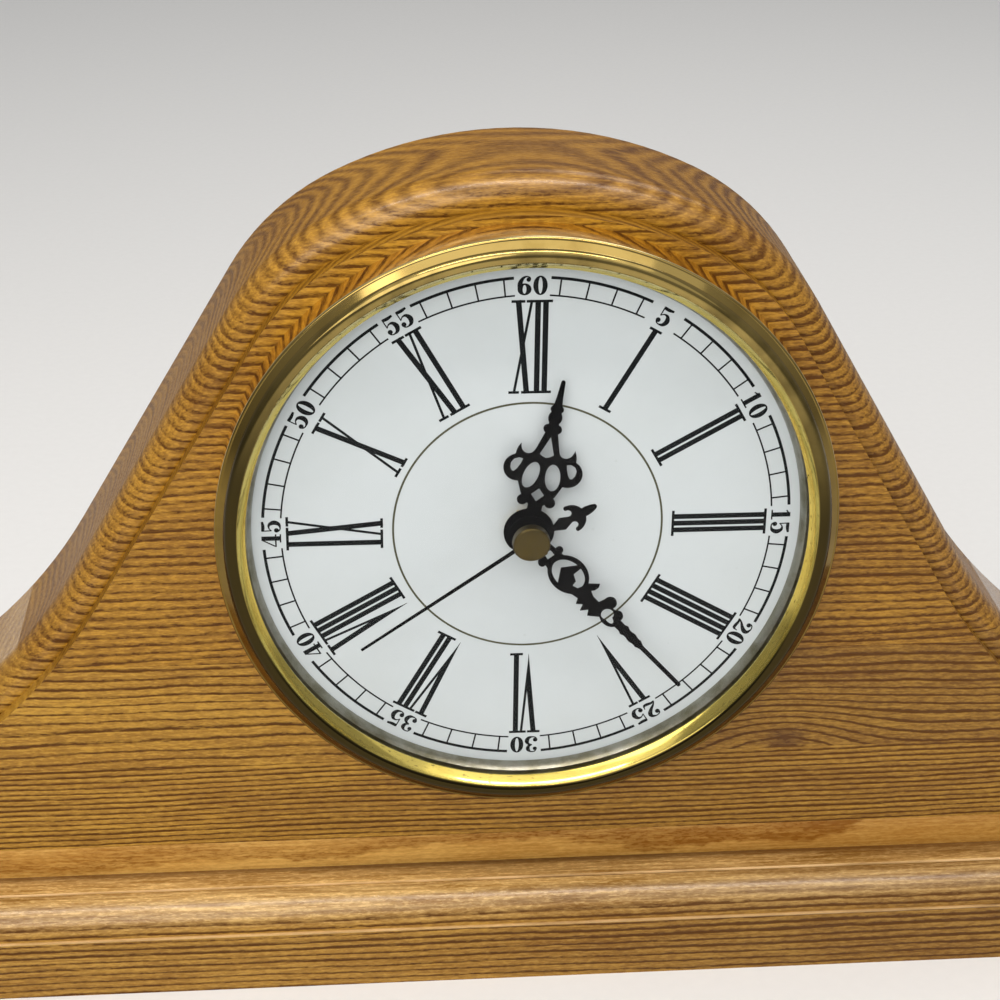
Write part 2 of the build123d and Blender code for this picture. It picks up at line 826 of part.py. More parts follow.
def contact(wall, tip):
    """A strip bowed from an end wall of the bay to the end of the cell."""
    side = 1 if wall > 0 else -1
    low = bay_middle - contact_width / 2
    high = bay_middle + contact_width / 2
    sheet = side * contact_sheet
    root = wall - side * press_gap
    back_line = [(root, low), (tip + sheet, bay_middle), (root, high)]
    front_line = [(root - sheet, high), (tip, bay_middle), (root - sheet, low)]
    strip = Polygon(*back_line, *front_line, align=None)
    half = contact_width / 2
    return slab(strip, cell_depth - half, cell_depth + half)


# Hands, drawn pointing to twelve


def both_sides(sketch):
    return sketch + mirror(sketch, about=Plane.YZ)


def outline(*points):
    """A closed outline, with its points put in anticlockwise order so that outlines fuse."""
    area = sum(x0 * y1 - x1 * y0 for (x0, y0), (x1, y1) in zip(points, points[1:] + points[:1]))
    return Polygon(*(points if area > 0 else reversed(points)), align=None)


def symmetric(*points):
    """A closed outline from the points of its right half, top to bottom."""
    return outline(*points, *[(-x, y) for x, y in reversed(points)])


def oval(width, height, x, y, lean=0):
    return Pos(x, y) * Rot(0, 0, lean) * Ellipse(width / 2, height / 2)


def disc(radius, x, y):
    return Pos(x, y) * Circle(radius)


def hand_blank(sketch, length, angle, stand, arbor):
    """A stamped hand, brought to its length and turned clockwise from twelve, with a hole for its arbor."""
    sketch = scale(sketch, length / sketch.bounding_box().max.Y) - Circle(arbor + press_gap)
    return slab(Rot(0, 0, -angle) * sketch, -stand - hand_sheet, -stand)


def hour_hand():
    """A pierced hand: hub, two knobs, a heart of two ovals between horned scrolls, legs and a blade."""
    half = outline((0, 5), (1.75, 5), (1.75, 7.2), (4.1, 9.8), (5.4, 12.8), (5.6, 19.6), (5.1, 20.2),
                   (4.3, 20.15), (3.6, 20.4), (3.1, 21.0), (2.8, 21.7), (1.5, 26.2), (0, 26.2))
    half += disc(1.3, 3.35, 8.2)
    half += disc(3.45, 6.1, 16.3)
    half += outline((5.0, 19.3), (7.35, 19.2), (7.25, 20.6), (7.0, 21.5), (6.55, 22.5), (6.35, 21.7),
                    (6.05, 21.0), (5.6, 20.5), (5.0, 20.2))
    half -= oval(3.7, 7.1, 2.65, 14.8, 10)
    half -= outline((5.25, 18.7), (6.3, 18.9), (7.4, 18.4), (8.0, 17.3), (7.9, 16.0), (7.3, 15.1),
                    (6.8, 15.1), (6.2, 15.9), (5.6, 17.3))
    half -= outline((0, 8.1), (1.65, 9.9), (0, 11.7))
    half -= outline((0, 19.6), (0.9, 19.9), (1.75, 20.5), (0, 25.2))
    hand = both_sides(half) + Circle(6.1)
    hand += disc(1.1, 1.1, 27.2) + disc(1.1, -1.1, 27.2) + oval(3.3, 3.7, 0, 30.1)
    hand += disc(0.85, 0.72, 32.3) + disc(0.85, -0.72, 32.3)
    hand += symmetric((0.25, 39.65), (0.45, 39.4), (0.5, 39), (0.75, 35.2), (0.95, 33.6), (1.2, 33),
                      (1.2, 26))
    return hand_blank(hand, hour_hand_length, hour_angle, hour_stand, hour_pipe_radius)


def minute_hand():
    """A pierced hand: hub, knobs, a ring round a leaf, a horn, a saw edge, a loop, beads and a long blade."""
    hand = Circle(5.3) + symmetric((2.6, 9.5), (2.0, 3.5)) + disc(0.95, 2.75, 7.65) + disc(0.95, -2.75, 7.65)
    hand -= outline((-1.0, 6.3), (1.0, 6.3), (1.15, 8.0), (-1.15, 8.0))
    eye = oval(6.6, 9.7, 0, 14.25)
    hand += oval(9.0, 11.5, 0, 14.25)
    hand -= eye & outline((-4.2, 14.6), (0.1, 11.6), (4.2, 14.9), (4.2, 8), (-4.2, 8))
    hand -= eye & outline((-4.2, 15.0), (-1.0, 15.0), (-0.2, 16.8), (1.3, 17.2), (0.4, 20), (-4.2, 20))
    hand += outline((-1.8, 19.4), (-3.9, 21.5), (-3.1, 22.0), (-1.9, 21.9), (-1.2, 21.4), (0, 20), (0, 19.3))
    hand += outline((-1.2, 19.4), (-1.2, 21.4), (-0.5, 23.2), (-0.5, 25.2), (-2.4, 25.7), (-1.8, 28.7),
                    (1.8, 28.5), (3.9, 26.0), (2.6, 24.9), (4.3, 23.7), (2.6, 22.9), (3.8, 21.6), (2.5, 20.8),
                    (3.0, 18))
    hand += disc(1.65, -2.35, 27.25) + disc(1.5, -1.25, 31.2) + oval(4.5, 6.0, 0.25, 30.2)
    hand -= oval(3.1, 3.3, 0.15, 29.2) + oval(1.6, 3.6, 0.65, 30.3, -8)
    for width, height, up in ((2.7, 2.3, 35.5), (2.4, 3.8, 38.4), (2.1, 1.8, 40.7)):
        hand += oval(width, height, 0, up)
    hand += symmetric((0.3, 57.2), (0.46, 57), (0.5, 56.6), (0.55, 42.2), (0.95, 41), (1.1, 32.6))
    piece = hand_blank(hand, minute_hand_length, minute_angle, minute_stand, minute_pipe_radius)
    collet_bore = minute_pipe_radius + press_gap
    return piece + tube(collet_radius, collet_bore, -minute_stand, collet_length - minute_stand)


def second_hand():
    """A needle with a fleur-de-lis tail, which is bent a little off the needle's line."""
    needle = symmetric((0.28, 49.7), (0.45, 4), (0.45, 0))
    tail = symmetric((0.6, 0), (0.6, -6.2), (1.7, -8.6), (0.75, -10.9), (0.75, -12.5))
    arms = disc(3.6, 0, -11.0) - Pos(0, -8.6) * Rectangle(8, 5)
    arms -= disc(0.95, 1.72, -10.95) + disc(0.95, -1.72, -10.95)
    arms += disc(0.5, 3.12, -11.15) + disc(0.5, -3.12, -11.15)
    petal = symmetric((1.05, -13.8), (1.15, -15.2), (0.9, -16.6), (0.5, -17.6), (0.15, -17.9))
    hub = Circle(sleeve_radius + arbor_radius)
    hand = needle + Rot(0, 0, -second_tail_lean) * (tail + arms + petal) + hub
    return hand_blank(hand, second_hand_length, second_angle, second_stand, sleeve_radius)


def second_cap():
    """The brass hub of the second hand: a rounded cap in front and a sleeve on the arbor behind."""
    seat = -second_stand - hand_sheet
    front = seat - cap_thick
    cap = rod(cap_radius, front, seat)
    cap = fillet(cap.edges().sort_by(Axis.Y)[0], cap_round)
    cap += rod(sleeve_radius, seat, seat + hand_sheet + sleeve_length)
    return cap - rod(second_arbor_radius + press_gap, front + cap_thick / 2 - end_gap, seat + 2 * cap_thick)


# Every piece, by the name of its node
lowest, lower, middle, crown = case_boards()
pieces = {
    "case_board_lowest": lowest,
    "case_board_lower": lower,
    "case_board_middle": middle,
    "case_board_crown": crown,
    "base_board": base_board(),
    "base_screws": base_screws(),
    "dial_pan": dial_pan(),
    "pan_screws": pan_screws(),
    "dial_plate": dial_plate(),
    "bezel": bezel(),
    "glass": glass(),
    "sight_ring": sight_ring(),
    "movement_case": movement_case(),
    "movement_cover": movement_cover(),
    "train_plate": train_plate(),
    "bushing": bushing(),
    "gasket": gasket(),
    "nut_washer": nut_washer(),
    "hex_nut": hex_nut(),
    "hour_wheel": hour_wheel(),
    "cannon_pinion": cannon_pinion(),
    "centre_wheel": centre_wheel(),
    "second_wheel": second_wheel(),
    "third_wheel": third_wheel(),
    "intermediate_wheel": intermediate_wheel(),
    "rotor_pinion": rotor_pinion(),
    "rotor_magnet": rotor_magnet(),
    "reduction_wheel": reduction_wheel(),
    "setting_arbor": setting_arbor(),
    "setting_knob": setting_knob(),
    "stator": stator(),
    "coil_bobbin": coil_bobbin(),
    "coil_winding": coil_winding(),
    "circuit_board": circuit_board(),
    "quartz_crystal": quartz_crystal(),
    "contact_positive": contact_positive(),
    "contact_negative": contact_negative(),
    "battery": battery(),
    "hour_hand": hour_hand(),
    "minute_hand": minute_hand(),
    "second_hand": second_hand(),
    "second_cap": second_cap(),
}

os.makedirs("parts", exist_ok=True)
for name, piece in pieces.items():
    export_step(piece, f"parts/{name}.step")
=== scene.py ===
"""Tambour mantel clock: the looks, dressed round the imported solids.

The solids keep their shapes. This script adds the print on the dial and a finely turned bezel on the solid one's
profile, gives every piece its finish, and sets the floor, the lamps and the camera. Lengths are metres in the part's
frame: X to the viewer's right, Y from the dial to the back, Z up from the surface that the clock stands on. Drawn
sizes are millimetres, times MM.
"""
import math

import bpy
import numpy as np
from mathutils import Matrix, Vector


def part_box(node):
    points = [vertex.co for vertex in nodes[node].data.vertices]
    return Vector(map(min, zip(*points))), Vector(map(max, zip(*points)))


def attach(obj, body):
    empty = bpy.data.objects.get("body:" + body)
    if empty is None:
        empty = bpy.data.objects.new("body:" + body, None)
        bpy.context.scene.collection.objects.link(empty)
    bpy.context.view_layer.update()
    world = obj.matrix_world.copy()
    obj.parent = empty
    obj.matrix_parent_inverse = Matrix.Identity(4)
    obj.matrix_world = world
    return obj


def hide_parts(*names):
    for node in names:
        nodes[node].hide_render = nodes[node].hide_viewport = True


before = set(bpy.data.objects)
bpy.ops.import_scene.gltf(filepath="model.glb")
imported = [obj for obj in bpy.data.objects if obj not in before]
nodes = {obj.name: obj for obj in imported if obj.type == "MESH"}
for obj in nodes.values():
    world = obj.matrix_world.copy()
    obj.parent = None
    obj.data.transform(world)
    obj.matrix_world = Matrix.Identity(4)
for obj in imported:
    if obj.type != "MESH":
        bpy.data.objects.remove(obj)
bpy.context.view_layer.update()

MM = 0.001

# The dial that the print lies on
dial_low, dial_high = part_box("dial_plate")
dial_face = dial_low.y
dial_height = (dial_low.z + dial_high.z) / 2
ink_bite = 0.01 * MM
ink_lift = 0.02 * MM
ink_step = 0.004 * MM
ink_levels = 5
half_round_steps = 21
round_steps = 49


# Drawing the print

def curve_through(points, steps=8):
    """A smooth line through the given points: on each span the Catmull-Rom cubic, which leaves a point along the
    line from the point before it to the point after it. The end points stand in for their missing neighbours."""
    given = np.asarray(points, float)
    ends = np.vstack([2 * given[0] - given[1], given, 2 * given[-1] - given[-2]])
    before, start, stop, after = ends[:-3], ends[1:-2], ends[2:-1], ends[3:]
    t = (np.arange(steps) / steps)[None, :, None]
    before, start, stop, after = (side[:, None, :] for side in (before, start, stop, after))
    line = 0.5 * (2 * start + (stop - before) * t + (2 * before - 5 * start + 4 * stop - after) * t ** 2
                  + (3 * start - before - 3 * stop + after) * t ** 3)
    return np.vstack([line.reshape(-1, given.shape[1]), given[-1:]])


def pen_stroke(points, half_widths, smooth=False):
    """The two edges of a pen line: its middle line moved left and right along its normal by the half width. The
    points and half widths are smoothed together where the line is curved."""
    line = np.column_stack([np.asarray(points, float), np.broadcast_to(half_widths, len(points))])
    if smooth:
        line = curve_through(line)
    along = np.gradient(line[:, :2], axis=0)
    along /= np.linalg.norm(along, axis=1)[:, None]
    normal = np.column_stack([-along[:, 1], along[:, 0]])
    reach = line[:, 2:3] * normal
    return line[:, :2] + reach, line[:, :2] - reach


def ball(x, y, radius):
    """The upper and lower edge of a round ink ball, as half circles from its left to its right."""
    turn = np.linspace(math.pi, 0, half_round_steps)
    across = x + radius * np.cos(turn)
    rise = radius * np.sin(turn)
    return np.column_stack([across, y + rise]), np.column_stack([across, y - rise])


def bowl(x, y, outer, counter):
    """The outer and inner edge of a closed bowl: two ellipses about one middle, drawn clockwise."""
    turn = np.linspace(0, -2 * math.pi, round_steps)
    round_trip = np.column_stack([np.cos(turn), np.sin(turn)])
    return (x, y) + round_trip * outer, (x, y) + round_trip * counter


def arc_line(radius, half_width, start, stop):
    """The two edges of a line at one radius, between two clock angles in degrees."""
    turn = np.radians(np.linspace(start, stop, max(4, int(abs(stop - start)) + 2)))
    compass = np.column_stack([np.sin(turn), np.cos(turn)])
    return compass * (radius + half_width), compass * (radius - half_width)


def turned(edges, angle, across=0.0, out=0.0):
    """Edges drawn upright, carried out along the dial's radius, moved sideways and turned clockwise by an angle in
    degrees about the dial's middle."""
    c, s = math.cos(math.radians(angle)), math.sin(math.radians(angle))
    turn = np.array([[c, -s], [s, c]])
    return tuple((edge + (across, out)) @ turn for edge in edges)


def ink(name, strokes):
    """Lays pen strokes on the dial as one piece. Each stroke is a thin closed slab: its two edges at the front, the
    same two edges sunk a little into the dial, and a cap at each end. Neighbours in the list stand at different
    levels, a hair apart, so that crossing strokes have no faces in common."""
    spots, faces, count = [], [], 0
    for order, (left, right) in enumerate(strokes):
        n = len(left)
        front = dial_face - ink_lift - (order % ink_levels) * ink_step
        ring = np.stack([left, right, right, left], axis=1) * MM
        depth = np.broadcast_to([front, front, dial_face + ink_bite, dial_face + ink_bite], (n, 4))
        spots.append(np.stack([ring[:, :, 0], depth, ring[:, :, 1] + dial_height], axis=2).reshape(-1, 3))
        corner = count + np.arange(4 * (n - 1)).reshape(n - 1, 4)
        following = np.roll(corner, -1, axis=1)
        faces.append(np.stack([corner, following, following + 4, corner + 4], axis=2).reshape(-1, 4))
        faces.append(np.array([[3, 2, 1, 0], [4 * n - 4, 4 * n - 3, 4 * n - 2, 4 * n - 1]]) + count)
        count += 4 * n
    mesh = bpy.data.meshes.new(name)
    mesh.from_pydata(np.vstack(spots).tolist(), [], np.vstack(faces).tolist())
    mesh.update()
    piece = bpy.data.objects.new(name, mesh)
    bpy.context.scene.collection.objects.link(piece)
    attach(piece, "clock")
    return piece


# Roman hours

numeral_foot = 34.9
numeral_head = 58.1
thick_half = 0.65
thin_half = 0.31
serif_half = 0.32
serif_reach = 1.6
thin_reach = 1.25
stem_pitch = 1.8
vee_spread = 3.15
vee_point = 1.5
vee_foot = 35.3
vee_blunt = 0.06
lone_cross_drop = 0.6
cross_foot_thick = 2.2
cross_foot_thin = -0.8
after_vee = 1.4
before_cross = 2.9


def serif(x, level, reach):
    """A short bar across the end of a stem."""
    inward = serif_half if level == numeral_foot else -serif_half
    return pen_stroke([(x - reach, level + inward), (x + reach, level + inward)], serif_half)


def letter_i(x):
    """One thick stem with a serif at each end."""
    stem = pen_stroke([(x, numeral_foot), (x, numeral_head)], thick_half)
    return [stem, serif(x, numeral_foot, serif_reach), serif(x, numeral_head, serif_reach)]


def letter_v(x):
    """Two blades that share one point. Each blade's edges run side by side from its head to the height where the
    two inner edges cross, and from there they close to the point."""
    heads = (x - thick_half, x + vee_spread + thin_half)
    widths = (2 * thick_half, -2 * thin_half)
    point = np.array([x + vee_point, vee_foot])
    crossing = (vee_spread - thick_half - thin_half) / (vee_spread + thick_half + thin_half)
    blades = []
    for head, width in zip(heads, widths):
        top = np.array([head, numeral_head])
        outer = np.array([top, top + crossing * (point - top), point])
        inner = outer + np.array([[width, 0], [width, 0], [width * vee_blunt, 0]])
        blades.append((inner, outer) if width > 0 else (outer, inner))
    return [*blades, serif(x, numeral_head, serif_reach), serif(x + vee_spread, numeral_head, thin_reach)]


def letter_x(x):
    """A thick and a thin stroke that cross, with a serif at each end."""
    thick_foot, thin_foot = x + cross_foot_thick, x + cross_foot_thin
    return [pen_stroke([(x, numeral_head), (thick_foot, numeral_foot)], thick_half),
            pen_stroke([(x + vee_spread, numeral_head), (thin_foot, numeral_foot)], thin_half),
            serif(x, numeral_head, serif_reach), serif(x + vee_spread, numeral_head, thin_reach),
            serif(thick_foot, numeral_foot, thin_reach), serif(thin_foot, numeral_foot, thin_reach)]


letters = {"I": (letter_i, 0.0), "V": (letter_v, vee_spread), "X": (letter_x, vee_spread)}
hours = ["I", "II", "III", "IIII", "V", "VI", "VII", "VIII", "IX", "X", "XI", "XII"]


def roman(word, angle):
    """A Roman number set radially: its letters side by side, the first stem to the last one centred on the hour."""
    starts, reach, last = [], 0.0, ""
    for letter in word:
        if last:
            reach += before_cross if letter == "X" else stem_pitch if last == "I" else after_vee
        starts.append(reach)
        reach += letters[letter][1]
        last = letter
    drawn = [stroke for letter, x in zip(word, starts) for stroke in letters[letter][0](x - reach / 2)]
    return [turned(stroke, angle, 0.0, -lone_cross_drop if word == "X" else 0.0) for stroke in drawn]


# Minute numbers, each digit drawn about the middle of its foot

digits = {
    "0": [bowl(0, 2.35, (1.65, 2.35), (0.48, 1.98))],
    "1": [pen_stroke([(0.15, 0), (0.15, 4.7)], 0.58), pen_stroke([(0.2, 4.45), (-1.05, 3.75)], (0.25, 0.14)),
          pen_stroke([(-1.15, 0.18), (1.45, 0.18)], 0.18)],
    "2": [ball(-0.95, 3.45, 0.6),
          pen_stroke([(-1.44, 3.4), (-1.2, 4.2), (-0.2, 4.53), (0.85, 4.05), (0.95, 3.2), (0.2, 2.2), (-0.85, 1.25),
                      (-1.45, 0.3)], (0.11, 0.15, 0.17, 0.42, 0.56, 0.42, 0.24, 0.16), True),
          pen_stroke([(-1.5, 0.3), (-0.6, 0.55), (0.4, 0.4), (1.2, 0.42), (1.5, 0.9)],
                     (0.2, 0.32, 0.4, 0.36, 0.12), True),
          pen_stroke([(1.46, 0.5), (1.58, 1.5)], (0.2, 0.1))],
    "3": [ball(-0.95, 3.62, 0.52), ball(-1.0, 1.02, 0.58),
          pen_stroke([(-1.36, 3.7), (-0.9, 4.42), (0.1, 4.53), (0.82, 3.8), (0.6, 2.85), (-0.2, 2.5)],
                     (0.11, 0.15, 0.19, 0.5, 0.36, 0.12), True),
          pen_stroke([(-0.2, 2.5), (0.75, 2.2), (1.1, 1.35), (0.65, 0.45), (-0.3, 0.17), (-1.05, 0.35), (-1.48, 0.95)],
                     (0.12, 0.32, 0.57, 0.42, 0.18, 0.15, 0.11), True)],
    "4": [pen_stroke([(0.5, 0.1), (0.5, 4.7)], 0.58), pen_stroke([(0.15, 4.65), (-1.65, 1.35)], 0.15),
          pen_stroke([(-1.78, 1.3), (1.6, 1.3)], 0.18), pen_stroke([(-0.6, 0.17), (1.6, 0.17)], 0.17)],
    "5": [pen_stroke([(-1.15, 4.32), (0.1, 4.25), (1.35, 4.42)], (0.38, 0.4, 0.26), True),
          pen_stroke([(-1.14, 4.6), (-1.06, 2.2)], 0.14), ball(-0.98, 1.05, 0.58),
          pen_stroke([(-1.1, 2.25), (-0.35, 2.85), (0.55, 2.72), (1.07, 1.65), (0.65, 0.55), (-0.3, 0.17),
                      (-1.05, 0.38), (-1.45, 1.0)], (0.11, 0.17, 0.38, 0.58, 0.44, 0.18, 0.15, 0.11), True)],
    "6": [bowl(0, 1.45, (1.6, 1.45), (0.42, 1.05)), ball(0.92, 3.78, 0.52),
          pen_stroke([(-1.08, 1.5), (-1.02, 2.9), (-0.42, 4.05), (0.42, 4.53), (1.2, 4.3), (1.4, 3.8)],
                     (0.52, 0.54, 0.36, 0.17, 0.14, 0.1), True)],
}
number_foot = 59.25
digit_pitch = 3.65


def minute_number(word, angle):
    """A number set radially outside its hour, its digits one pitch apart and centred on the angle."""
    first = -(len(word) - 1) * digit_pitch / 2
    return [turned(stroke, angle, first + place * digit_pitch, number_foot)
            for place, digit in enumerate(word) for stroke in digits[digit]]


# Minute track: two lines with ticks between them, broken at each number

track_outer = 63.58
track_outer_half = 0.36
track_inner = 59.3
track_line_half = 0.2
track_break = 3.87
centre_circle = 32.5
centre_circle_half = 0.25


def minute_track():
    """Two arcs between each pair of numbers, and a radial tick at each minute that has no number."""
    strokes = []
    for hour in range(12):
        start, stop = 30 * hour + track_break, 30 * hour + 30 - track_break
        strokes.append(arc_line(track_outer, track_outer_half, start, stop))
        strokes.append(arc_line(track_inner, track_line_half, start, stop))
        for minute in range(1, 5):
            tick = pen_stroke([(0, track_inner), (0, track_outer)], track_line_half)
            strokes.append(turned(tick, 30 * hour + 6 * minute))
    return strokes


dial_numerals = ink("dial_numerals", [s for n, word in enumerate(hours) for s in roman(word, 30 * n + 30)])
dial_minute_numbers = ink("dial_minute_numbers",
                          [s for n in range(1, 13) for s in minute_number(str(5 * n), 30 * n)])
dial_minute_track = ink("dial_minute_track", minute_track())
dial_centre_circle = ink("dial_centre_circle",
                         [arc_line(centre_circle, centre_circle_half, 90 * q, 90 * q + 90) for q in range(4)])


# Bezel, turned from the same profile as its solid so that its polish runs evenly round the ring

ring_steps = 240
shoulder_steps, bead_steps, slope_steps = 8, 24, 10
wall_radius = 75.0
wall_foot = 5.0
wall_head = -4.6
shoulder_radius = 0.7
band_width, band_rise = 1.5, 1.2
bead_width, bead_rise, bead_crown = 3.35, 0.9, 1.0
slope_width, slope_drop, slope_hollow = 1.85, 2.25, 0.12
brass_sheet = 0.8
glass_seat_radius = 69.0
glass_seat_depth = -4.8


def arc_run(start, end, height, steps):
    """Points on the circle through two ends that stands off their chord by a height, to the left of the way. They are
    at even angles about its centre, up to the last but one."""
    start, end = np.array(start), np.array(end)
    chord = np.linalg.norm(end - start)
    way = (end - start) / chord
    left = np.array([-way[1], way[0]])
    radius = (chord ** 2 / 4 + height ** 2) / (2 * height)
    reach = 2 * math.atan(2 * height / chord)
    angle = np.linspace(-reach, reach, steps + 1)[:-1, None]
    return (start + end) / 2 + way * radius * np.sin(angle) + left * (radius * np.cos(angle) - radius + height)


def bezel_profile():
    """The bezel's cut face as radius and depth: wall, shoulder, band, bead and slope outside, and the sheet's inner
    side back to the foot. Also says at which points the surface has a crease."""
    turn = (wall_radius, wall_head)
    shoulder = (wall_radius - shoulder_radius, wall_head - shoulder_radius)
    band = (shoulder[0] - band_width, shoulder[1] - band_rise)
    ridge = (band[0] - bead_width, band[1] - bead_rise)
    lip = (ridge[0] - slope_width, ridge[1] + slope_drop)
    bead = arc_run(band, ridge, bead_crown, bead_steps)
    crown = bead[len(bead) // 2]
    inner_wall = wall_radius - brass_sheet
    quarter_rise = shoulder_radius * (1 - math.sqrt(0.5))
    runs = [np.array([(wall_radius, wall_foot)]), arc_run(turn, shoulder, quarter_rise, shoulder_steps),
            np.array([shoulder]), bead, arc_run(ridge, lip, -slope_hollow, slope_steps),
            np.array([lip, (lip[0], glass_seat_depth), (glass_seat_radius, glass_seat_depth),
                      (ridge[0] + brass_sheet, ridge[1] + brass_sheet), (crown[0], crown[1] + brass_sheet),
                      (band[0] - brass_sheet / 2, band[1] + brass_sheet), (inner_wall, wall_head + brass_sheet / 4),
                      (inner_wall, wall_foot)])]
    starts = np.cumsum([0] + [len(run) for run in runs])
    inside = np.arange(starts[5], starts[6])
    return np.vstack(runs), np.concatenate([starts[[0, 2, 3, 4]], inside])


def turned_ring(name, profile, creases):
    """A closed profile of radius and depth carried once round the hand axis: across is radius times the sine of the
    turn, height is radius times its cosine. The edges that run round the ring at a crease stay sharp."""
    count = len(profile)
    turn = np.linspace(0, 2 * math.pi, ring_steps, endpoint=False)[:, None]
    radius, depth = profile[:, 0] * MM, profile[:, 1] * MM
    spots = np.stack([np.sin(turn) * radius, np.broadcast_to(dial_face + depth, (ring_steps, count)),
                      dial_height + np.cos(turn) * radius], axis=2).reshape(-1, 3)
    here = np.arange(ring_steps * count).reshape(ring_steps, count)
    beside = np.roll(here, -1, axis=1)
    ahead = np.roll(here, -1, axis=0)
    faces = np.stack([here, beside, np.roll(beside, -1, axis=0), ahead], axis=2).reshape(-1, 4)
    mesh = bpy.data.meshes.new(name)
    mesh.from_pydata(spots.tolist(), [], faces.tolist())
    mesh.update()
    mesh.shade_smooth()
    ends = np.empty(2 * len(mesh.edges), int)
    mesh.edges.foreach_get("vertices", ends)
    on_profile = ends.reshape(-1, 2) % count
    sharp = (on_profile[:, 0] == on_profile[:, 1]) & np.isin(on_profile[:, 0], creases)
    mesh.edges.foreach_set("use_edge_sharp", sharp)
    piece = bpy.data.objects.new(name, mesh)
    bpy.context.scene.collection.objects.link(piece)
    return piece


bezel_ring = turned_ring("bezel_ring", *bezel_profile())
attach(bezel_ring, "clock")
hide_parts("bezel")


# Node trees

def seen(red, green, blue):
    """A colour as a screen shows it, 0 to 255, turned into the linear light that shaders use."""
    shown = np.array([red, green, blue]) / 255
    light = np.where(shown <= 0.04045, shown / 12.92, ((shown + 0.055) / 1.055) ** 2.4)
    return (*light.tolist(), 1.0)


class Recipe:
    """A node tree being filled in. Each method adds one node, feeds it values or other nodes' outputs, and hands
    back its output."""

    def __init__(self, tree):
        self.tree = tree

    def feed(self, socket, value):
        if isinstance(value, bpy.types.NodeSocket):
            self.tree.links.new(value, socket)
        else:
            socket.default_value = value

    def add(self, kind, feeds, **settings):
        node = self.tree.nodes.new(kind)
        for name, value in settings.items():
            setattr(node, name, value)
        for key, value in feeds.items():
            self.feed(node.inputs[key], value)
        return node

    def sum(self, *values):
        total = values[0]
        for value in values[1:]:
            total = self.math("ADD", total, value)
        return total

    def math(self, operation, a, b=0.0, clamp=False):
        return self.add("ShaderNodeMath", {0: a, 1: b}, operation=operation, use_clamp=clamp).outputs[0]

    def share(self, *values):
        """A sum that is held between nought and one."""
        return self.math("ADD", self.sum(*values), 0.0, True)

    def less(self, a, b):
        return self.math("SUBTRACT", a, b)

    def length(self, vector):
        return self.add("ShaderNodeVectorMath", {0: vector}, operation="LENGTH").outputs["Value"]

    def times(self, *values):
        product = values[0]
        for value in values[1:]:
            product = self.math("MULTIPLY", product, value)
        return product

    def ease(self, value, low, high, at_low=0.0, at_high=1.0):
        """Goes smoothly from one value to another while the input crosses a band."""
        feeds = {"Value": value, "From Min": low, "From Max": high, "To Min": at_low, "To Max": at_high}
        return self.add("ShaderNodeMapRange", feeds, interpolation_type="SMOOTHSTEP").outputs[0]

    def stretch(self, vector, scale):
        return self.add("ShaderNodeVectorMath", {0: vector, 1: scale}, operation="MULTIPLY").outputs[0]

    def noise(self, vector, scale=1.0, detail=2.0, roughness=0.5):
        feeds = {"Vector": vector, "Scale": scale, "Detail": detail, "Roughness": roughness}
        return self.add("ShaderNodeTexNoise", feeds).outputs["Fac"]

    def swing(self, vector, size, detail=2.0):
        """Noise about nought, of a given size either way."""
        return self.times(self.less(self.noise(vector, detail=detail), 0.5), self.times(size, 2.0))

    def tint(self, share, a, b):
        """A colour that goes from the first to the second as the share goes from nought to one."""
        return self.add("ShaderNodeMix", {0: share, 6: a, 7: b}, data_type="RGBA").outputs[2]

    def split(self, vector):
        return self.add("ShaderNodeSeparateXYZ", {0: vector}).outputs

    def place(self, location=(0, 0, 0), rotation=(0, 0, 0)):
        """The piece's own coordinates, in metres, moved and turned for a pattern."""
        spot = self.tree.nodes.new("ShaderNodeTexCoord").outputs["Object"]
        turn = tuple(math.radians(angle) for angle in rotation)
        return self.add("ShaderNodeMapping", {"Vector": spot, "Location": location, "Rotation": turn}).outputs[0]

    def use(self, group, **feeds):
        node = self.tree.nodes.new("ShaderNodeGroup")
        node.node_tree = group
        for key, value in feeds.items():
            self.feed(node.inputs[key.replace("_", " ")], value)
        return node.outputs


def effect(name, takes, gives):
    """A new node group with named inputs and outputs: hands back the group, its recipe, what it is given and what it
    puts out."""
    group = bpy.data.node_groups.new(name, "ShaderNodeTree")
    kinds = {"value": "NodeSocketFloat", "vector": "NodeSocketVector", "colour": "NodeSocketColor"}
    for label, kind in takes:
        group.interface.new_socket(label, in_out="INPUT", socket_type=kinds[kind])
    for label, kind in gives:
        group.interface.new_socket(label, in_out="OUTPUT", socket_type=kinds[kind])
    given = group.nodes.new("NodeGroupInput").outputs
    return group, Recipe(group), given, group.nodes.new("NodeGroupOutput").inputs


# Waves per metre of the wood's patterns, along the grain and twice across it
slow_waves = (6, 22, 22)
wobble_waves = (38, 120, 120)
ripple_waves = (230, 500, 500)
break_waves = (110, 900, 900)
dash_waves = (430, 1800, 1800)
pore_waves = (800, 4200, 4200)
fibre_waves = (60, 1500, 1500)
patch_waves = (14, 60, 60)
rub_waves = (60, 300, 300)


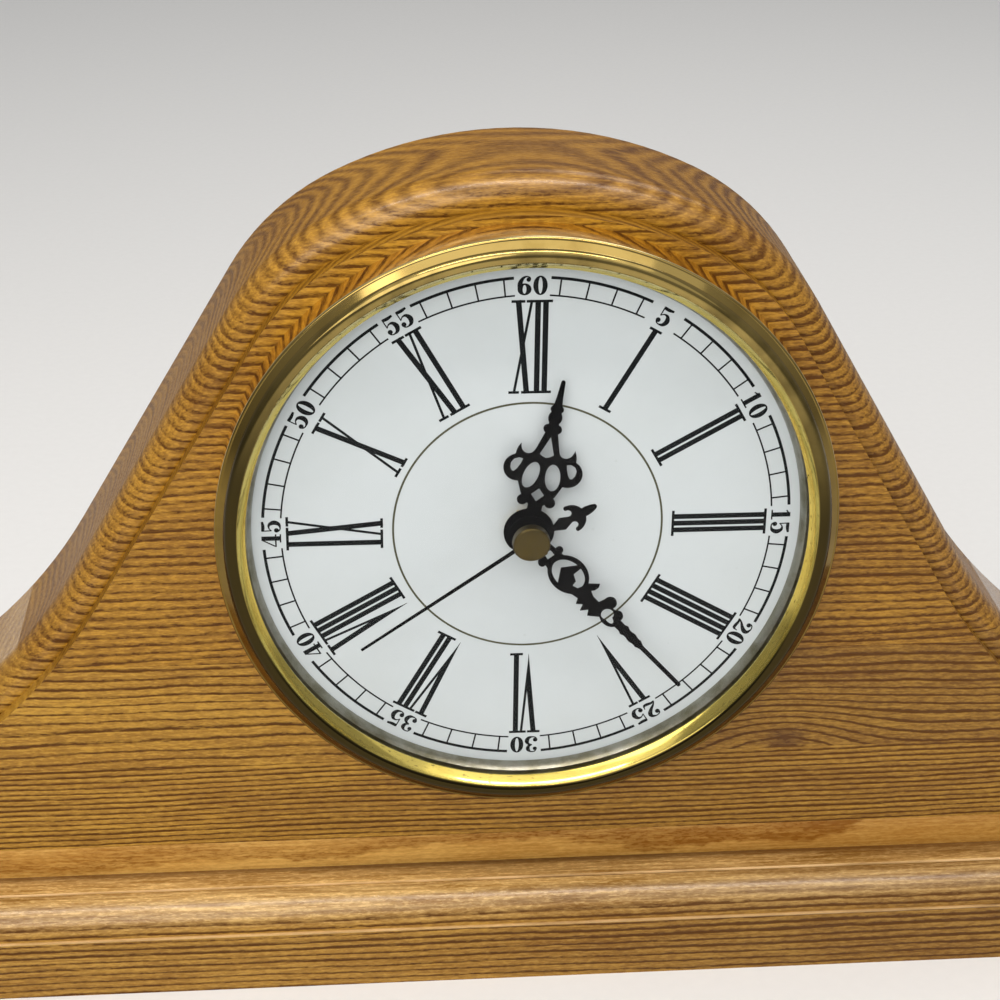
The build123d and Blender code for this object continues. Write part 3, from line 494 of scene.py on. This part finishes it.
def timber_effect():
    """Sawn, ring-porous wood. Growth layers lie level and cup across the board: height, plus a cup times the depth
    squared, plus slow wander. Each layer starts with a dark porous line that fades through the layer and breaks up
    along the grain. Dashes, dark and light, lie along the grain and crowd into that line; fibres and broad patches
    vary the ground between two tones. On topsides, where a layer is cut along its face, the lines are broad and
    soft. The varnish is thinner over lines and pores."""
    group, make, given, out = effect(
        "timber",
        [("Place", "vector"), ("Layer", "value"), ("Cup", "value"), ("Wander", "value"), ("Line Depth", "value"),
         ("Line Width", "value"), ("Face Depth", "value"), ("Dash Depth", "value"), ("Lift", "value"),
         ("Heart", "value"), ("Topside", "value"), ("Pale", "colour"), ("Warm", "colour"), ("Dark", "colour")],
        [("Color", "colour"), ("Roughness", "value"), ("Height", "value"), ("Varnish", "value")])
    place = given["Place"]
    depth, height = make.split(place)[1:]
    cup = make.times(depth, depth, given["Cup"])
    slow = make.swing(make.stretch(place, slow_waves), given["Wander"])
    wobble = make.swing(make.stretch(place, wobble_waves), make.times(given["Wander"], 0.13))
    ripple = make.swing(make.stretch(place, ripple_waves), make.times(given["Layer"], 0.14))
    layer = make.math("DIVIDE", make.sum(height, cup, slow, wobble, ripple, given["Lift"]), given["Layer"])
    year = make.math("FLOOR", layer)
    age = make.math("FRACT", layer)
    luck = make.add("ShaderNodeTexWhiteNoise", {"W": year}, noise_dimensions="1D").outputs["Value"]
    fade = make.sum(make.times(luck, 0.3), given["Line Width"])
    side = make.less(1.0, given["Topside"])
    thin = make.times(make.ease(age, 0.0, 0.14), make.ease(age, 0.18, fade, 1.0, 0.0))
    broad = make.times(make.ease(age, 0.0, 0.5), make.ease(age, 0.5, 1.0, given["Face Depth"], 0.0))
    line = make.sum(make.times(thin, side), make.times(broad, given["Topside"]))
    broken = make.ease(make.noise(make.stretch(place, break_waves), roughness=0.6), 0.3, 0.55, 0.5, 1.0)
    dash = make.noise(make.stretch(place, dash_waves), roughness=0.65)
    dark_dash = make.ease(dash, 0.49, 0.61)
    light_dash = make.ease(dash, 0.36, 0.5, 1.0, 0.0)
    pores = make.ease(make.noise(make.stretch(place, pore_waves), roughness=0.6), 0.5, 0.66)
    fibre = make.swing(make.stretch(place, fibre_waves), 0.5, 3.0)
    patch = make.swing(make.stretch(place, patch_waves), 0.5, 3.0)
    crowd = make.times(make.sum(make.times(line, 0.6), 0.4), make.sum(make.times(side, 0.7), 0.3))
    warmth = make.share(0.52, make.times(fibre, 1.3), make.times(patch, 1.4), make.times(pores, 0.15),
                        make.times(light_dash, given["Dash Depth"], -0.8))
    ground = make.tint(warmth, given["Pale"], given["Warm"])
    line_share = make.times(line, broken, make.times(given["Line Depth"], make.sum(make.times(luck, 0.4), 0.7)))
    dash_share = make.times(dark_dash, given["Dash Depth"], crowd)
    darkness = make.share(line_share, dash_share, make.times(fibre, 0.25), given["Heart"])
    make.feed(out["Color"], make.tint(make.times(darkness, 0.95), ground, given["Dark"]))
    make.feed(out["Roughness"], make.sum(0.4, make.times(pores, 0.1), make.times(dark_dash, 0.08)))
    make.feed(out["Height"], make.sum(make.times(pores, -0.2), make.times(line_share, -0.4),
                                      make.times(dash_share, -0.5), make.times(fibre, 0.5)))
    make.feed(out["Varnish"], make.sum(1.0, make.times(line_share, -0.7), make.times(dash_share, -0.6),
                                       make.times(pores, -0.3)))
    return group


def knot_effect():
    """A knot: layers rise over it in a bell, e to the minus square of the distance in knot sizes, and its heart is dark.
    It is longer along the grain and through the board than up it."""
    group, make, given, out = effect(
        "knot", [("Place", "vector"), ("Spot", "vector"), ("Size", "value"), ("Rise", "value")],
        [("Lift", "value"), ("Heart", "value")])
    away = make.add("ShaderNodeVectorMath", {0: given["Place"], 1: given["Spot"]}, operation="SUBTRACT").outputs[0]
    distance = make.math("DIVIDE", make.length(make.stretch(away, (0.55, 0.4, 1.0))), given["Size"])
    bell = make.math("EXPONENT", make.times(distance, distance, -1.0))
    make.feed(out["Lift"], make.times(bell, given["Rise"]))
    make.feed(out["Heart"], make.ease(distance, 0.05, 0.4, 0.6, 0.0))
    return group


def handling_effect():
    """Marks of handling: broad cloudy tone, fine grain and scattered round specks, each of its own size."""
    group, make, given, out = effect(
        "handling", [("Place", "vector"), ("Cloud", "value"), ("Grit", "value"), ("Speck", "value")],
        [("Tone", "value"), ("Grain", "value"), ("Specks", "value")])
    place = given["Place"]
    make.feed(out["Tone"], make.noise(place, given["Cloud"], 4.0, 0.6))
    make.feed(out["Grain"], make.noise(place, given["Grit"], 2.0, 0.6))
    spots = make.add("ShaderNodeTexVoronoi", {"Vector": place, "Scale": given["Speck"]})
    size = make.less(make.times(make.split(spots.outputs["Color"])[0], 0.16), 0.1)
    make.feed(out["Specks"], make.ease(make.less(spots.outputs["Distance"], size), 0.0, 0.04, 1.0, 0.0))
    return group


timber = timber_effect()
knot = knot_effect()
handling = handling_effect()


# Finishes

def finish(name, **constants):
    """A new material: its recipe and its Principled shader, with the values that are the same all over it."""
    material = bpy.data.materials.new(name)
    material.use_nodes = True
    shader = material.node_tree.nodes["Principled BSDF"]
    for key, value in constants.items():
        shader.inputs[key.replace("_", " ")].default_value = value
    return material, Recipe(material.node_tree), shader.inputs


def bump(make, surface, height, distance, strength):
    """Relief of a given depth in metres, from a height pattern."""
    feeds = {"Strength": strength, "Distance": distance, "Height": height}
    make.feed(surface["Normal"], make.add("ShaderNodeBump", feeds).outputs["Normal"])


# Across which x the painted shade towards the right of each board comes in
shade_start, shade_end = -0.05, 0.09


def oak(name, place, turn, layer, cup, wander, line, width, face, dash, pale, warm, dark, knots=(), paler_topside=None,
        dust_and_top_shade=0.0, edge_highlight_and_shade=None, right_shade=0.23):
    """One board of varnished wood, with its own growth layers. All boards are a little darker towards the right, a
    painted shade as of light from the left. A board's topside may be given a paler colour, and a painted shade darkens
    it where it faces up and not forward, where dust also dulls the varnish. The varnish is thinned on the flat fronts
    and full on the rounds."""
    material, make, surface = finish(name, Specular_IOR_Level=0.15, Coat_Roughness=0.25, Coat_IOR=1.5)
    spot = make.place(place, turn)
    # heart starts as a painted shade, darker towards the right as of light from the left, and gathers each knot's dark
    # heart
    lift, heart = 0.0, make.ease(make.split(make.place())[0], shade_start, shade_end, 0.0, right_shade)
    for where, size, rise in knots:
        swirl = make.use(knot, Place=spot, Spot=where, Size=size, Rise=rise)
        lift = make.sum(swirl["Lift"], lift)
        heart = make.sum(swirl["Heart"], heart)
    facing = make.tree.nodes.new("ShaderNodeNewGeometry").outputs["Normal"]
    forward, up = make.split(facing)[1:]
    topside = make.ease(up, 0.1, 0.8)
    # a board's topside may be given a paler colour of its own
    if paler_topside:
        pale = make.tint(topside, pale, paler_topside)
    grain = make.use(timber, Place=spot, Layer=layer, Cup=cup, Wander=wander, Line_Depth=line, Line_Width=width,
                     Face_Depth=face, Dash_Depth=dash, Lift=lift, Heart=heart, Topside=topside, Pale=pale, Warm=warm,
                     Dark=dark)
    # painted shade: the colour darkens where the board faces up and not forward; the same mask stands for dust that
    # dulls the varnish there
    dull = make.times(make.ease(up, 0.05, 0.4), make.ease(forward, -0.4, -0.15), dust_and_top_shade)
    colour = make.tint(make.times(dull, 0.3), grain["Color"], dark)
    # painted highlight pale along the base's arrises, and painted shade darkening the corner under the case
    if edge_highlight_and_shade:
        worn, corner_shade = edge_highlight_and_shade(make)
        colour = make.tint(worn, make.tint(corner_shade, colour, dark), arris_highlight)
    make.feed(surface["Base Color"], colour)
    make.feed(surface["Roughness"], grain["Roughness"])
    rubbed_down = make.ease(forward, -0.995, -0.93, 0.45, 1.0)
    make.feed(surface["Coat Weight"], make.times(grain["Varnish"], rubbed_down, make.less(1.0, dull)))
    bump(make, surface, grain["Height"], 0.00012, 0.7)
    return material


base_low, base_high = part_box("base_board")
front_arris = 16.8 * MM
top_arris = 9.2 * MM
case_setback = 17.0 * MM
# The colour of the painted highlight along the base's arrises
arris_highlight = seen(244, 206, 150)


def base_edge_highlight_and_shade(make):
    """Where the base's two arrises carry a painted highlight, and where a painted shade lies in the corner under the
    case. The distance in from the front and the ends tells the top's arris and the corner, and the height the front's
    one."""
    spot = make.place()
    x, y, z = make.split(spot)
    inset = make.math("MINIMUM", make.math("SUBTRACT", y, base_low.y),
                      make.math("SUBTRACT", base_high.x, make.math("ABSOLUTE", x)))
    on_top = make.ease(z, base_high.z - 0.6 * MM, base_high.z - 0.3 * MM)
    off_front = make.math("ABSOLUTE", make.math("SUBTRACT", z, front_arris))
    off_top = make.math("ABSOLUTE", make.math("SUBTRACT", inset, top_arris))
    # painted highlight bands along the front's arris and the top's arris, broken up by noise
    front = make.ease(off_front, 0.1 * MM, 0.4 * MM, 0.5, 0.0)
    top = make.times(make.ease(off_top, 0.15 * MM, 0.55 * MM, 1.0, 0.0), on_top)
    highlight_breakup = make.ease(make.noise(make.stretch(spot, rub_waves), detail=3.0), 0.3, 0.6, 0.45, 1.0)
    # painted shade in the corner under the case, darkest right at it
    corner = make.times(make.ease(inset, case_setback - 3.0 * MM, case_setback - 0.6 * MM, 0.0, 0.75), on_top)
    return make.times(make.math("MAXIMUM", front, top), highlight_breakup), corner


honey = seen(197, 149, 52)
straw = seen(192, 141, 42)
amber = seen(143, 97, 20)
umber = seen(84, 47, 2)
board_finishes = {
    "case_board_crown": oak(
        "crown_oak", place=(0, -0.012, 0), turn=(0.6, 0.4, 0), layer=0.0023, cup=13.0, wander=0.005, line=0.95,
        width=0.5, face=0.85, dash=0.6, pale=straw, warm=amber, dark=umber, dust_and_top_shade=0.9, right_shade=0.2),
    "case_board_middle": oak(
        "middle_oak", place=(0.31, 0.02, 0.003), turn=(3, -0.6, 0), layer=0.0027, cup=-6.0, wander=0.006, line=1.15,
        width=0.32, face=0.4, dash=0.5, pale=honey, warm=amber, dark=umber,
        knots=[((0.378, 0.0, 0.0635), 0.012, -0.008)], right_shade=0.42),
    "case_board_lower": oak(
        "lower_oak", place=(0.7, 0.01, 0.001), turn=(-2, 0.3, 0), layer=0.0016, cup=-4.0, wander=0.003, line=1.25,
        width=0.5, face=0.4, dash=0.4, pale=honey, warm=amber, dark=umber),
    "case_board_lowest": oak(
        "lowest_oak", place=(1.1, 0.01, 0.0), turn=(62, 0.2, 0), layer=0.0044, cup=-5.0, wander=0.009, line=0.6,
        width=0.6, face=0.3, dash=0.3, pale=seen(232, 184, 98), warm=seen(194, 138, 56), dark=seen(136, 82, 10),
        right_shade=0.4),
    "base_board": oak(
        "base_oak", place=(1.6, 0.03, 0.0), turn=(14, -0.2, 0), layer=0.0020, cup=-3.0, wander=0.003, line=1.2,
        width=0.45, face=0.3, dash=0.45, pale=seen(192, 146, 60), warm=amber, dark=umber,
        paler_topside=seen(238, 198, 128), edge_highlight_and_shade=base_edge_highlight_and_shade, right_shade=0.36),
}


def about_dial(make):
    """A spot on a piece that was spun about the dial's middle: its coordinates and its distance from the hand axis."""
    spot = make.place((0, 0, -dial_height))
    return spot, make.length(make.stretch(spot, (1, 0, 1)))


def brass(name, base, dull, roughness, spun, specks):
    """Lacquered brass: a cloudy tone between bright and dulled, and faint rings left by spinning about the dial's
    middle, so that the ring's phase is the distance from that middle."""
    material, make, surface = finish(name, Metallic=1.0, Coat_Weight=0.15, Coat_Roughness=0.08)
    spot, radius = about_dial(make)
    depth = make.split(spot)[1]
    marks = make.use(handling, Place=spot, Cloud=90.0, Grit=1800.0, Speck=420.0)
    rings = make.add("ShaderNodeTexNoise", {"W": make.times(make.sum(radius, depth), 2500.0), "Detail": 2.0},
                     noise_dimensions="1D").outputs["Fac"]
    worn = make.math("ADD", make.ease(marks["Tone"], 0.42, 0.7, 0.0, 0.55), make.times(marks["Specks"], specks), True)
    make.feed(surface["Base Color"], make.tint(worn, base, dull))
    make.feed(surface["Roughness"], make.sum(roughness, make.times(worn, 0.12), make.times(marks["Grain"], 0.05)))
    bump(make, surface, make.sum(make.times(rings, spun), make.times(marks["Specks"], -0.5 * specks)), 0.00003, 0.5)
    return material


slope_edge = 69.5 * MM
bead_edge = 72.7 * MM
wall_edge = 74.9 * MM
wall_blur = 0.08 * MM
zone_blur = 0.25 * MM
# The turn at which the painted reflection on the band and bead is brightest
bright_turn = 0.1
smear_waves = 40.0
tool_waves = 2200.0


def bezel_brass():
    """The spun bezel: one brass painted in zones told apart by the radius that stand for reflections, a bright wall, a
    gold band, a bead painted dark as a dark reflection, and a pale slope inside. The band and the bead are painted
    darker away from the top, by the cosine of the turn, as a painted reflection. The slope is tarnished in smears that
    are long round the ring and short across it."""
    material, make, surface = finish("bezel_brass", Metallic=1.0, Coat_Weight=0.15, Coat_Roughness=0.05)
    spot, radius = about_dial(make)
    across, _, height = make.split(spot)
    turn = make.math("ARCTAN2", across, height)
    marks = make.use(handling, Place=spot, Cloud=60.0, Grit=1800.0, Speck=420.0)
    # One polished brass painted in radius zones that stand for reflections: a pale wall, a gold band, a dark bead, a
    # pale slope
    outside = make.ease(radius, bead_edge - zone_blur, bead_edge + zone_blur)
    inside = make.ease(radius, slope_edge - zone_blur, slope_edge + zone_blur, 1.0, 0.0)
    worn = make.ease(marks["Tone"], 0.4, 0.7, 0.0, 0.6)
    wall = make.ease(radius, wall_edge - wall_blur, wall_edge + wall_blur)
    # painted reflection: the band and bead painted darker away from the top, by the cosine of the turn
    reflection_toward_top = make.ease(make.math("COSINE", make.math("SUBTRACT", turn, bright_turn)), 0.1, 0.9)
    band = make.tint(reflection_toward_top, seen(112, 90, 38), seen(176, 150, 84))
    gold = make.tint(wall, make.tint(worn, band, seen(140, 114, 52)), seen(238, 220, 156))
    bead = make.tint(worn, make.tint(reflection_toward_top, seen(56, 46, 15), seen(160, 138, 78)), seen(60, 48, 16))
    slope = make.tint(worn, seen(216, 194, 100), seen(190, 164, 70))
    colour = make.tint(inside, make.tint(outside, bead, gold), slope)
    along_and_across = {0: make.times(turn, smear_waves), 1: make.times(radius, tool_waves)}
    way_round = make.add("ShaderNodeCombineXYZ", along_and_across).outputs[0]
    smear = make.ease(make.noise(way_round, detail=4.0, roughness=0.65), 0.57, 0.66)
    bouts = make.ease(make.noise(spot, 22.0, 1.0), 0.42, 0.6)
    stain = make.times(smear, bouts, inside)
    make.feed(surface["Base Color"], make.tint(make.times(stain, 0.9), colour, seen(64, 54, 24)))
    make.feed(surface["Roughness"], make.sum(0.07, make.times(worn, 0.05), make.times(inside, 0.03),
                                             make.times(stain, 0.25), make.times(marks["Grain"], 0.04)))
    bump(make, surface, make.sum(make.times(marks["Grain"], 0.15), make.times(stain, -0.5)), 0.00002, 0.4)
    return material


def metal(name, base, dull, roughness):
    """Plain or plated metal: cloudy tone, fine grit in the roughness and the bump."""
    material, make, surface = finish(name, Metallic=1.0)
    marks = make.use(handling, Place=make.place(), Cloud=160.0, Grit=2600.0, Speck=600.0)
    make.feed(surface["Base Color"], make.tint(make.ease(marks["Tone"], 0.35, 0.7), base, dull))
    make.feed(surface["Roughness"], make.sum(roughness, make.times(marks["Grain"], 0.16)))
    bump(make, surface, marks["Grain"], 0.00002, 0.5)
    return material


def moulded(name, base, worn, roughness, grit=2200.0, sparkle=0.5):
    """Moulded plastic or rubber: fine spark-eroded texture, a little dust in a cloudy pattern."""
    material, make, surface = finish(name, Specular_IOR_Level=sparkle)
    marks = make.use(handling, Place=make.place(), Cloud=70.0, Grit=grit, Speck=500.0)
    dusty = make.sum(make.ease(marks["Tone"], 0.45, 0.75, 0.0, 0.5), make.times(marks["Specks"], 0.4))
    make.feed(surface["Base Color"], make.tint(dusty, base, worn))
    make.feed(surface["Roughness"], make.sum(roughness, make.times(marks["Tone"], 0.15)))
    bump(make, surface, marks["Grain"], 0.00003, 0.6)
    return material


def enamel(name, base, worn, roughness, specks, sparkle=0.5):
    """Paint or print on metal: a faint orange-peel, a faint cloud of tone and a few specks of dust."""
    material, make, surface = finish(name, Specular_IOR_Level=sparkle)
    marks = make.use(handling, Place=make.place(), Cloud=38.0, Grit=900.0, Speck=190.0)
    dusty = make.sum(make.ease(marks["Tone"], 0.4, 0.75, 0.0, 0.3), make.times(marks["Specks"], specks))
    make.feed(surface["Base Color"], make.tint(dusty, base, worn))
    make.feed(surface["Roughness"], make.sum(roughness, make.times(marks["Grain"], 0.1)))
    bump(make, surface, marks["Grain"], 0.00001, 0.3)
    return material


def clear_glass():
    """Clear domed glass: plain and bright, with the faintest waviness."""
    material, make, surface = finish("domed_glass", Base_Color=(1, 1, 1, 1), Roughness=0.0, IOR=1.12,
                                     Transmission_Weight=1.0)
    wave = make.noise(make.place(), 40.0, 1.0)
    bump(make, surface, wave, 0.00005, 0.1)
    return material


def copper_winding():
    """Enamelled wire wound along the coil: bands across its length."""
    material, make, surface = finish("wound_copper", Metallic=1.0, Coat_Weight=0.6, Coat_Roughness=0.15)
    spot = make.place()
    turns = make.math("SINE", make.times(make.split(spot)[2], 2 * math.pi / 0.00018))
    marks = make.use(handling, Place=spot, Cloud=300.0, Grit=3000.0, Speck=600.0)
    groove = make.ease(turns, -1.0, 0.4)
    make.feed(surface["Base Color"], make.tint(groove, seen(96, 46, 20), seen(204, 122, 64)))
    make.feed(surface["Roughness"], make.math("ADD", make.times(marks["Grain"], 0.15), 0.25))
    bump(make, surface, groove, 0.00006, 0.8)
    return material


def circuit_laminate():
    """Brown board with copper tracks under lacquer: a grid of cells whose edges are drawn as tracks."""
    material, make, surface = finish("printed_laminate", Coat_Weight=0.3, Coat_Roughness=0.2)
    spot = make.place()
    cells = make.add("ShaderNodeTexVoronoi", {"Vector": spot, "Scale": 230.0}, feature="DISTANCE_TO_EDGE")
    track = make.ease(cells.outputs["Distance"], 0.05, 0.09, 1.0, 0.0)
    marks = make.use(handling, Place=spot, Cloud=200.0, Grit=2500.0, Speck=500.0)
    ground = make.tint(marks["Tone"], seen(150, 108, 44), seen(176, 132, 60))
    make.feed(surface["Base Color"], make.tint(track, ground, seen(196, 140, 70)))
    make.feed(surface["Roughness"], make.math("ADD", make.times(marks["Grain"], 0.2), 0.4))
    bump(make, surface, track, 0.00004, 0.5)
    return material


def cell_sleeve():
    """An AA cell: a dark printed sleeve with a plain band near its raised end, and bare steel at both ends."""
    material, make, surface = finish("cell_sleeve", Coat_Weight=0.3, Coat_Roughness=0.1)
    spot = make.place()
    along = make.split(spot)[0]
    low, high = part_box("battery")
    bare = make.math("ADD", make.ease(along, low.x + 0.0005, low.x + 0.0007, 1.0, 0.0),
                     make.ease(along, high.x - 0.0022, high.x - 0.002, 0.0, 1.0))
    band = make.times(make.ease(along, high.x - 0.0125, high.x - 0.0123), make.math("SUBTRACT", 1.0, bare))
    marks = make.use(handling, Place=spot, Cloud=120.0, Grit=2400.0, Speck=420.0)
    sleeve = make.tint(make.times(marks["Tone"], 0.4), seen(38, 40, 43), seen(64, 66, 70))
    sleeve = make.tint(band, sleeve, seen(176, 122, 58))
    make.feed(surface["Base Color"], make.tint(bare, sleeve, seen(196, 194, 188)))
    make.feed(surface["Metallic"], bare)
    make.feed(surface["Roughness"], make.math("ADD", make.times(marks["Grain"], 0.16), 0.26))
    bump(make, surface, marks["Grain"], 0.00001, 0.4)
    return material


polished_brass = bezel_brass()
turned_brass = brass("turned_brass", seen(214, 184, 104), seen(150, 122, 58), 0.26, 1.0, 0.3)
aged_brass = brass("aged_brass", seen(82, 70, 38), seen(50, 42, 20), 0.36, 0.6, 0.8)
dial_enamel = enamel("dial_enamel", seen(209, 217, 219), seen(198, 206, 206), 0.5, 0.5, 0.3)
dial_ink = enamel("dial_ink", seen(18, 21, 22), seen(32, 36, 37), 0.6, 0.1, 0.1)
circle_ink = enamel("circle_ink", seen(84, 84, 66), seen(104, 104, 86), 0.6, 0.1, 0.1)
hand_enamel = enamel("hand_enamel", seen(10, 10, 11), seen(24, 24, 25), 0.6, 0.5, 0.08)
sight_plate = metal("sight_plate", seen(158, 156, 144), seen(124, 120, 100), 0.26)
pan_plate = metal("pan_plate", seen(196, 194, 186), seen(168, 166, 156), 0.3)
zinc_screw = metal("zinc_screw", seen(186, 186, 182), seen(150, 148, 140), 0.32)
core_steel = metal("core_steel", seen(142, 143, 146), seen(112, 112, 114), 0.35)
nickel_spring = metal("nickel_spring", seen(214, 212, 204), seen(186, 182, 170), 0.22)
black_moulding = moulded("black_moulding", seen(30, 30, 31), seen(62, 61, 58), 0.48)
wheel_moulding = moulded("wheel_moulding", seen(226, 222, 206), seen(206, 200, 182), 0.36)
gasket_rubber = moulded("gasket_rubber", seen(34, 34, 34), seen(58, 57, 55), 0.75, 1500.0, 0.3)

finishes = {
    "base_screws": zinc_screw, "dial_pan": pan_plate, "pan_screws": zinc_screw, "dial_plate": dial_enamel,
    "bezel": polished_brass, "glass": clear_glass(), "sight_ring": sight_plate, "movement_case": black_moulding,
    "movement_cover": black_moulding, "train_plate": wheel_moulding, "bushing": turned_brass,
    "gasket": gasket_rubber, "nut_washer": turned_brass, "hex_nut": turned_brass, "hour_wheel": wheel_moulding,
    "cannon_pinion": wheel_moulding, "centre_wheel": wheel_moulding, "second_wheel": wheel_moulding,
    "third_wheel": wheel_moulding, "intermediate_wheel": wheel_moulding, "rotor_pinion": wheel_moulding,
    "rotor_magnet": core_steel, "reduction_wheel": wheel_moulding, "setting_arbor": wheel_moulding,
    "setting_knob": black_moulding, "stator": core_steel, "coil_bobbin": wheel_moulding,
    "coil_winding": copper_winding(), "circuit_board": circuit_laminate(), "quartz_crystal": nickel_spring,
    "contact_positive": nickel_spring, "contact_negative": nickel_spring, "battery": cell_sleeve(),
    "hour_hand": hand_enamel, "minute_hand": hand_enamel, "second_hand": hand_enamel, "second_cap": aged_brass,
    **board_finishes,
}


def dress(piece, material):
    """Gives a piece one finish in all its material slots."""
    piece.data.materials.clear()
    piece.data.materials.append(material)


for node, material in finishes.items():
    dress(nodes[node], material)
for piece in (dial_numerals, dial_minute_numbers, dial_minute_track):
    dress(piece, dial_ink)
dress(dial_centre_circle, circle_ink)
dress(bezel_ring, polished_brass)
nodes["glass"].visible_shadow = False
nodes["glass"].visible_diffuse = False


# Floor, lamps and camera

floor_half = 6.0


def make_floor():
    """A plain level sheet under the clock."""
    mesh = bpy.data.meshes.new("floor")
    corners = [(x * floor_half, y * floor_half, 0) for x, y in ((-1, -1), (1, -1), (1, 1), (-1, 1))]
    mesh.from_pydata(corners, [], [(0, 1, 2, 3)])
    floor = bpy.data.objects.new("floor", mesh)
    bpy.context.scene.collection.objects.link(floor)
    material, make, surface = finish("floor_paper", Roughness=0.8, Specular_IOR_Level=0.1)
    paper = make.tint(make.noise(make.place(), 300.0), seen(232, 232, 230), seen(236, 236, 234))
    make.feed(surface["Base Color"], paper)
    dress(floor, material)


def lamp(name, place, aim, size, watts, colour=(1, 1, 1)):
    """A soft rectangular lamp that faces a point."""
    data = bpy.data.lights.new(name, "AREA")
    data.shape = "RECTANGLE"
    data.size, data.size_y = size
    data.energy = watts
    data.color = colour
    light = bpy.data.objects.new(name, data)
    bpy.context.scene.collection.objects.link(light)
    facing = np.array(aim, float) - np.array(place, float)
    light.location = place
    light.rotation_euler = (math.atan2(math.hypot(facing[0], facing[1]), -facing[2]), 0.0,
                            math.atan2(-facing[0], facing[1]))


def make_world():
    """Even studio fill that is brighter overhead than at the horizon."""
    world = bpy.data.worlds.new("studio")
    bpy.context.scene.world = world
    world.use_nodes = True
    make = Recipe(world.node_tree)
    direction = make.tree.nodes.new("ShaderNodeTexCoord").outputs["Generated"]
    up = make.split(direction)[2]
    sky = make.tint(make.ease(up, -0.1, 0.8), (0.3, 0.3, 0.3, 1), (0.36, 0.36, 0.365, 1))
    background = world.node_tree.nodes["Background"]
    make.feed(background.inputs["Color"], sky)
    background.inputs["Strength"].default_value = 1.0


def make_camera():
    """The camera that the photo's dial track was solved for."""
    data = bpy.data.cameras.new("camera")
    data.sensor_width = 36.0
    data.lens = 75.137
    data.clip_start, data.clip_end = 0.01, 50.0
    camera = bpy.data.objects.new("camera", data)
    bpy.context.scene.collection.objects.link(camera)
    camera.location = (-0.04477, dial_face - 0.44835, 0.3508)
    camera.rotation_euler = [math.radians(angle) for angle in (64.206, -0.6282, -4.5303)]
    bpy.context.scene.camera = camera


make_floor()
make_world()
lamp("key_box", place=(-0.4, -0.85, 0.75), aim=(0, 0, 0.12), size=(0.8, 0.6), watts=4.2, colour=(1.0, 0.97, 0.95))
lamp("fill_box", place=(0.2, -0.8, 1.15), aim=(0, 0, 0.1), size=(2.0, 1.2), watts=3.3)
lamp("top_lamp", place=(-0.05, -0.3, 1.05), aim=(0, 0, 0.15), size=(1.5, 0.8), watts=3.2, colour=(1.0, 0.96, 0.92))
lamp("strip_lamp", place=(0.0, -0.28, 1.15), aim=(0, 0, 0.15), size=(1.0, 0.07), watts=4.6, colour=(1.0, 0.93, 0.88))
lamp("back_lamp", place=(0.4, 0.8, 1.2), aim=(0, 0, 0.1), size=(0.8, 0.6), watts=3.0)
make_camera()
bpy.context.scene.view_settings.view_transform = "Standard"
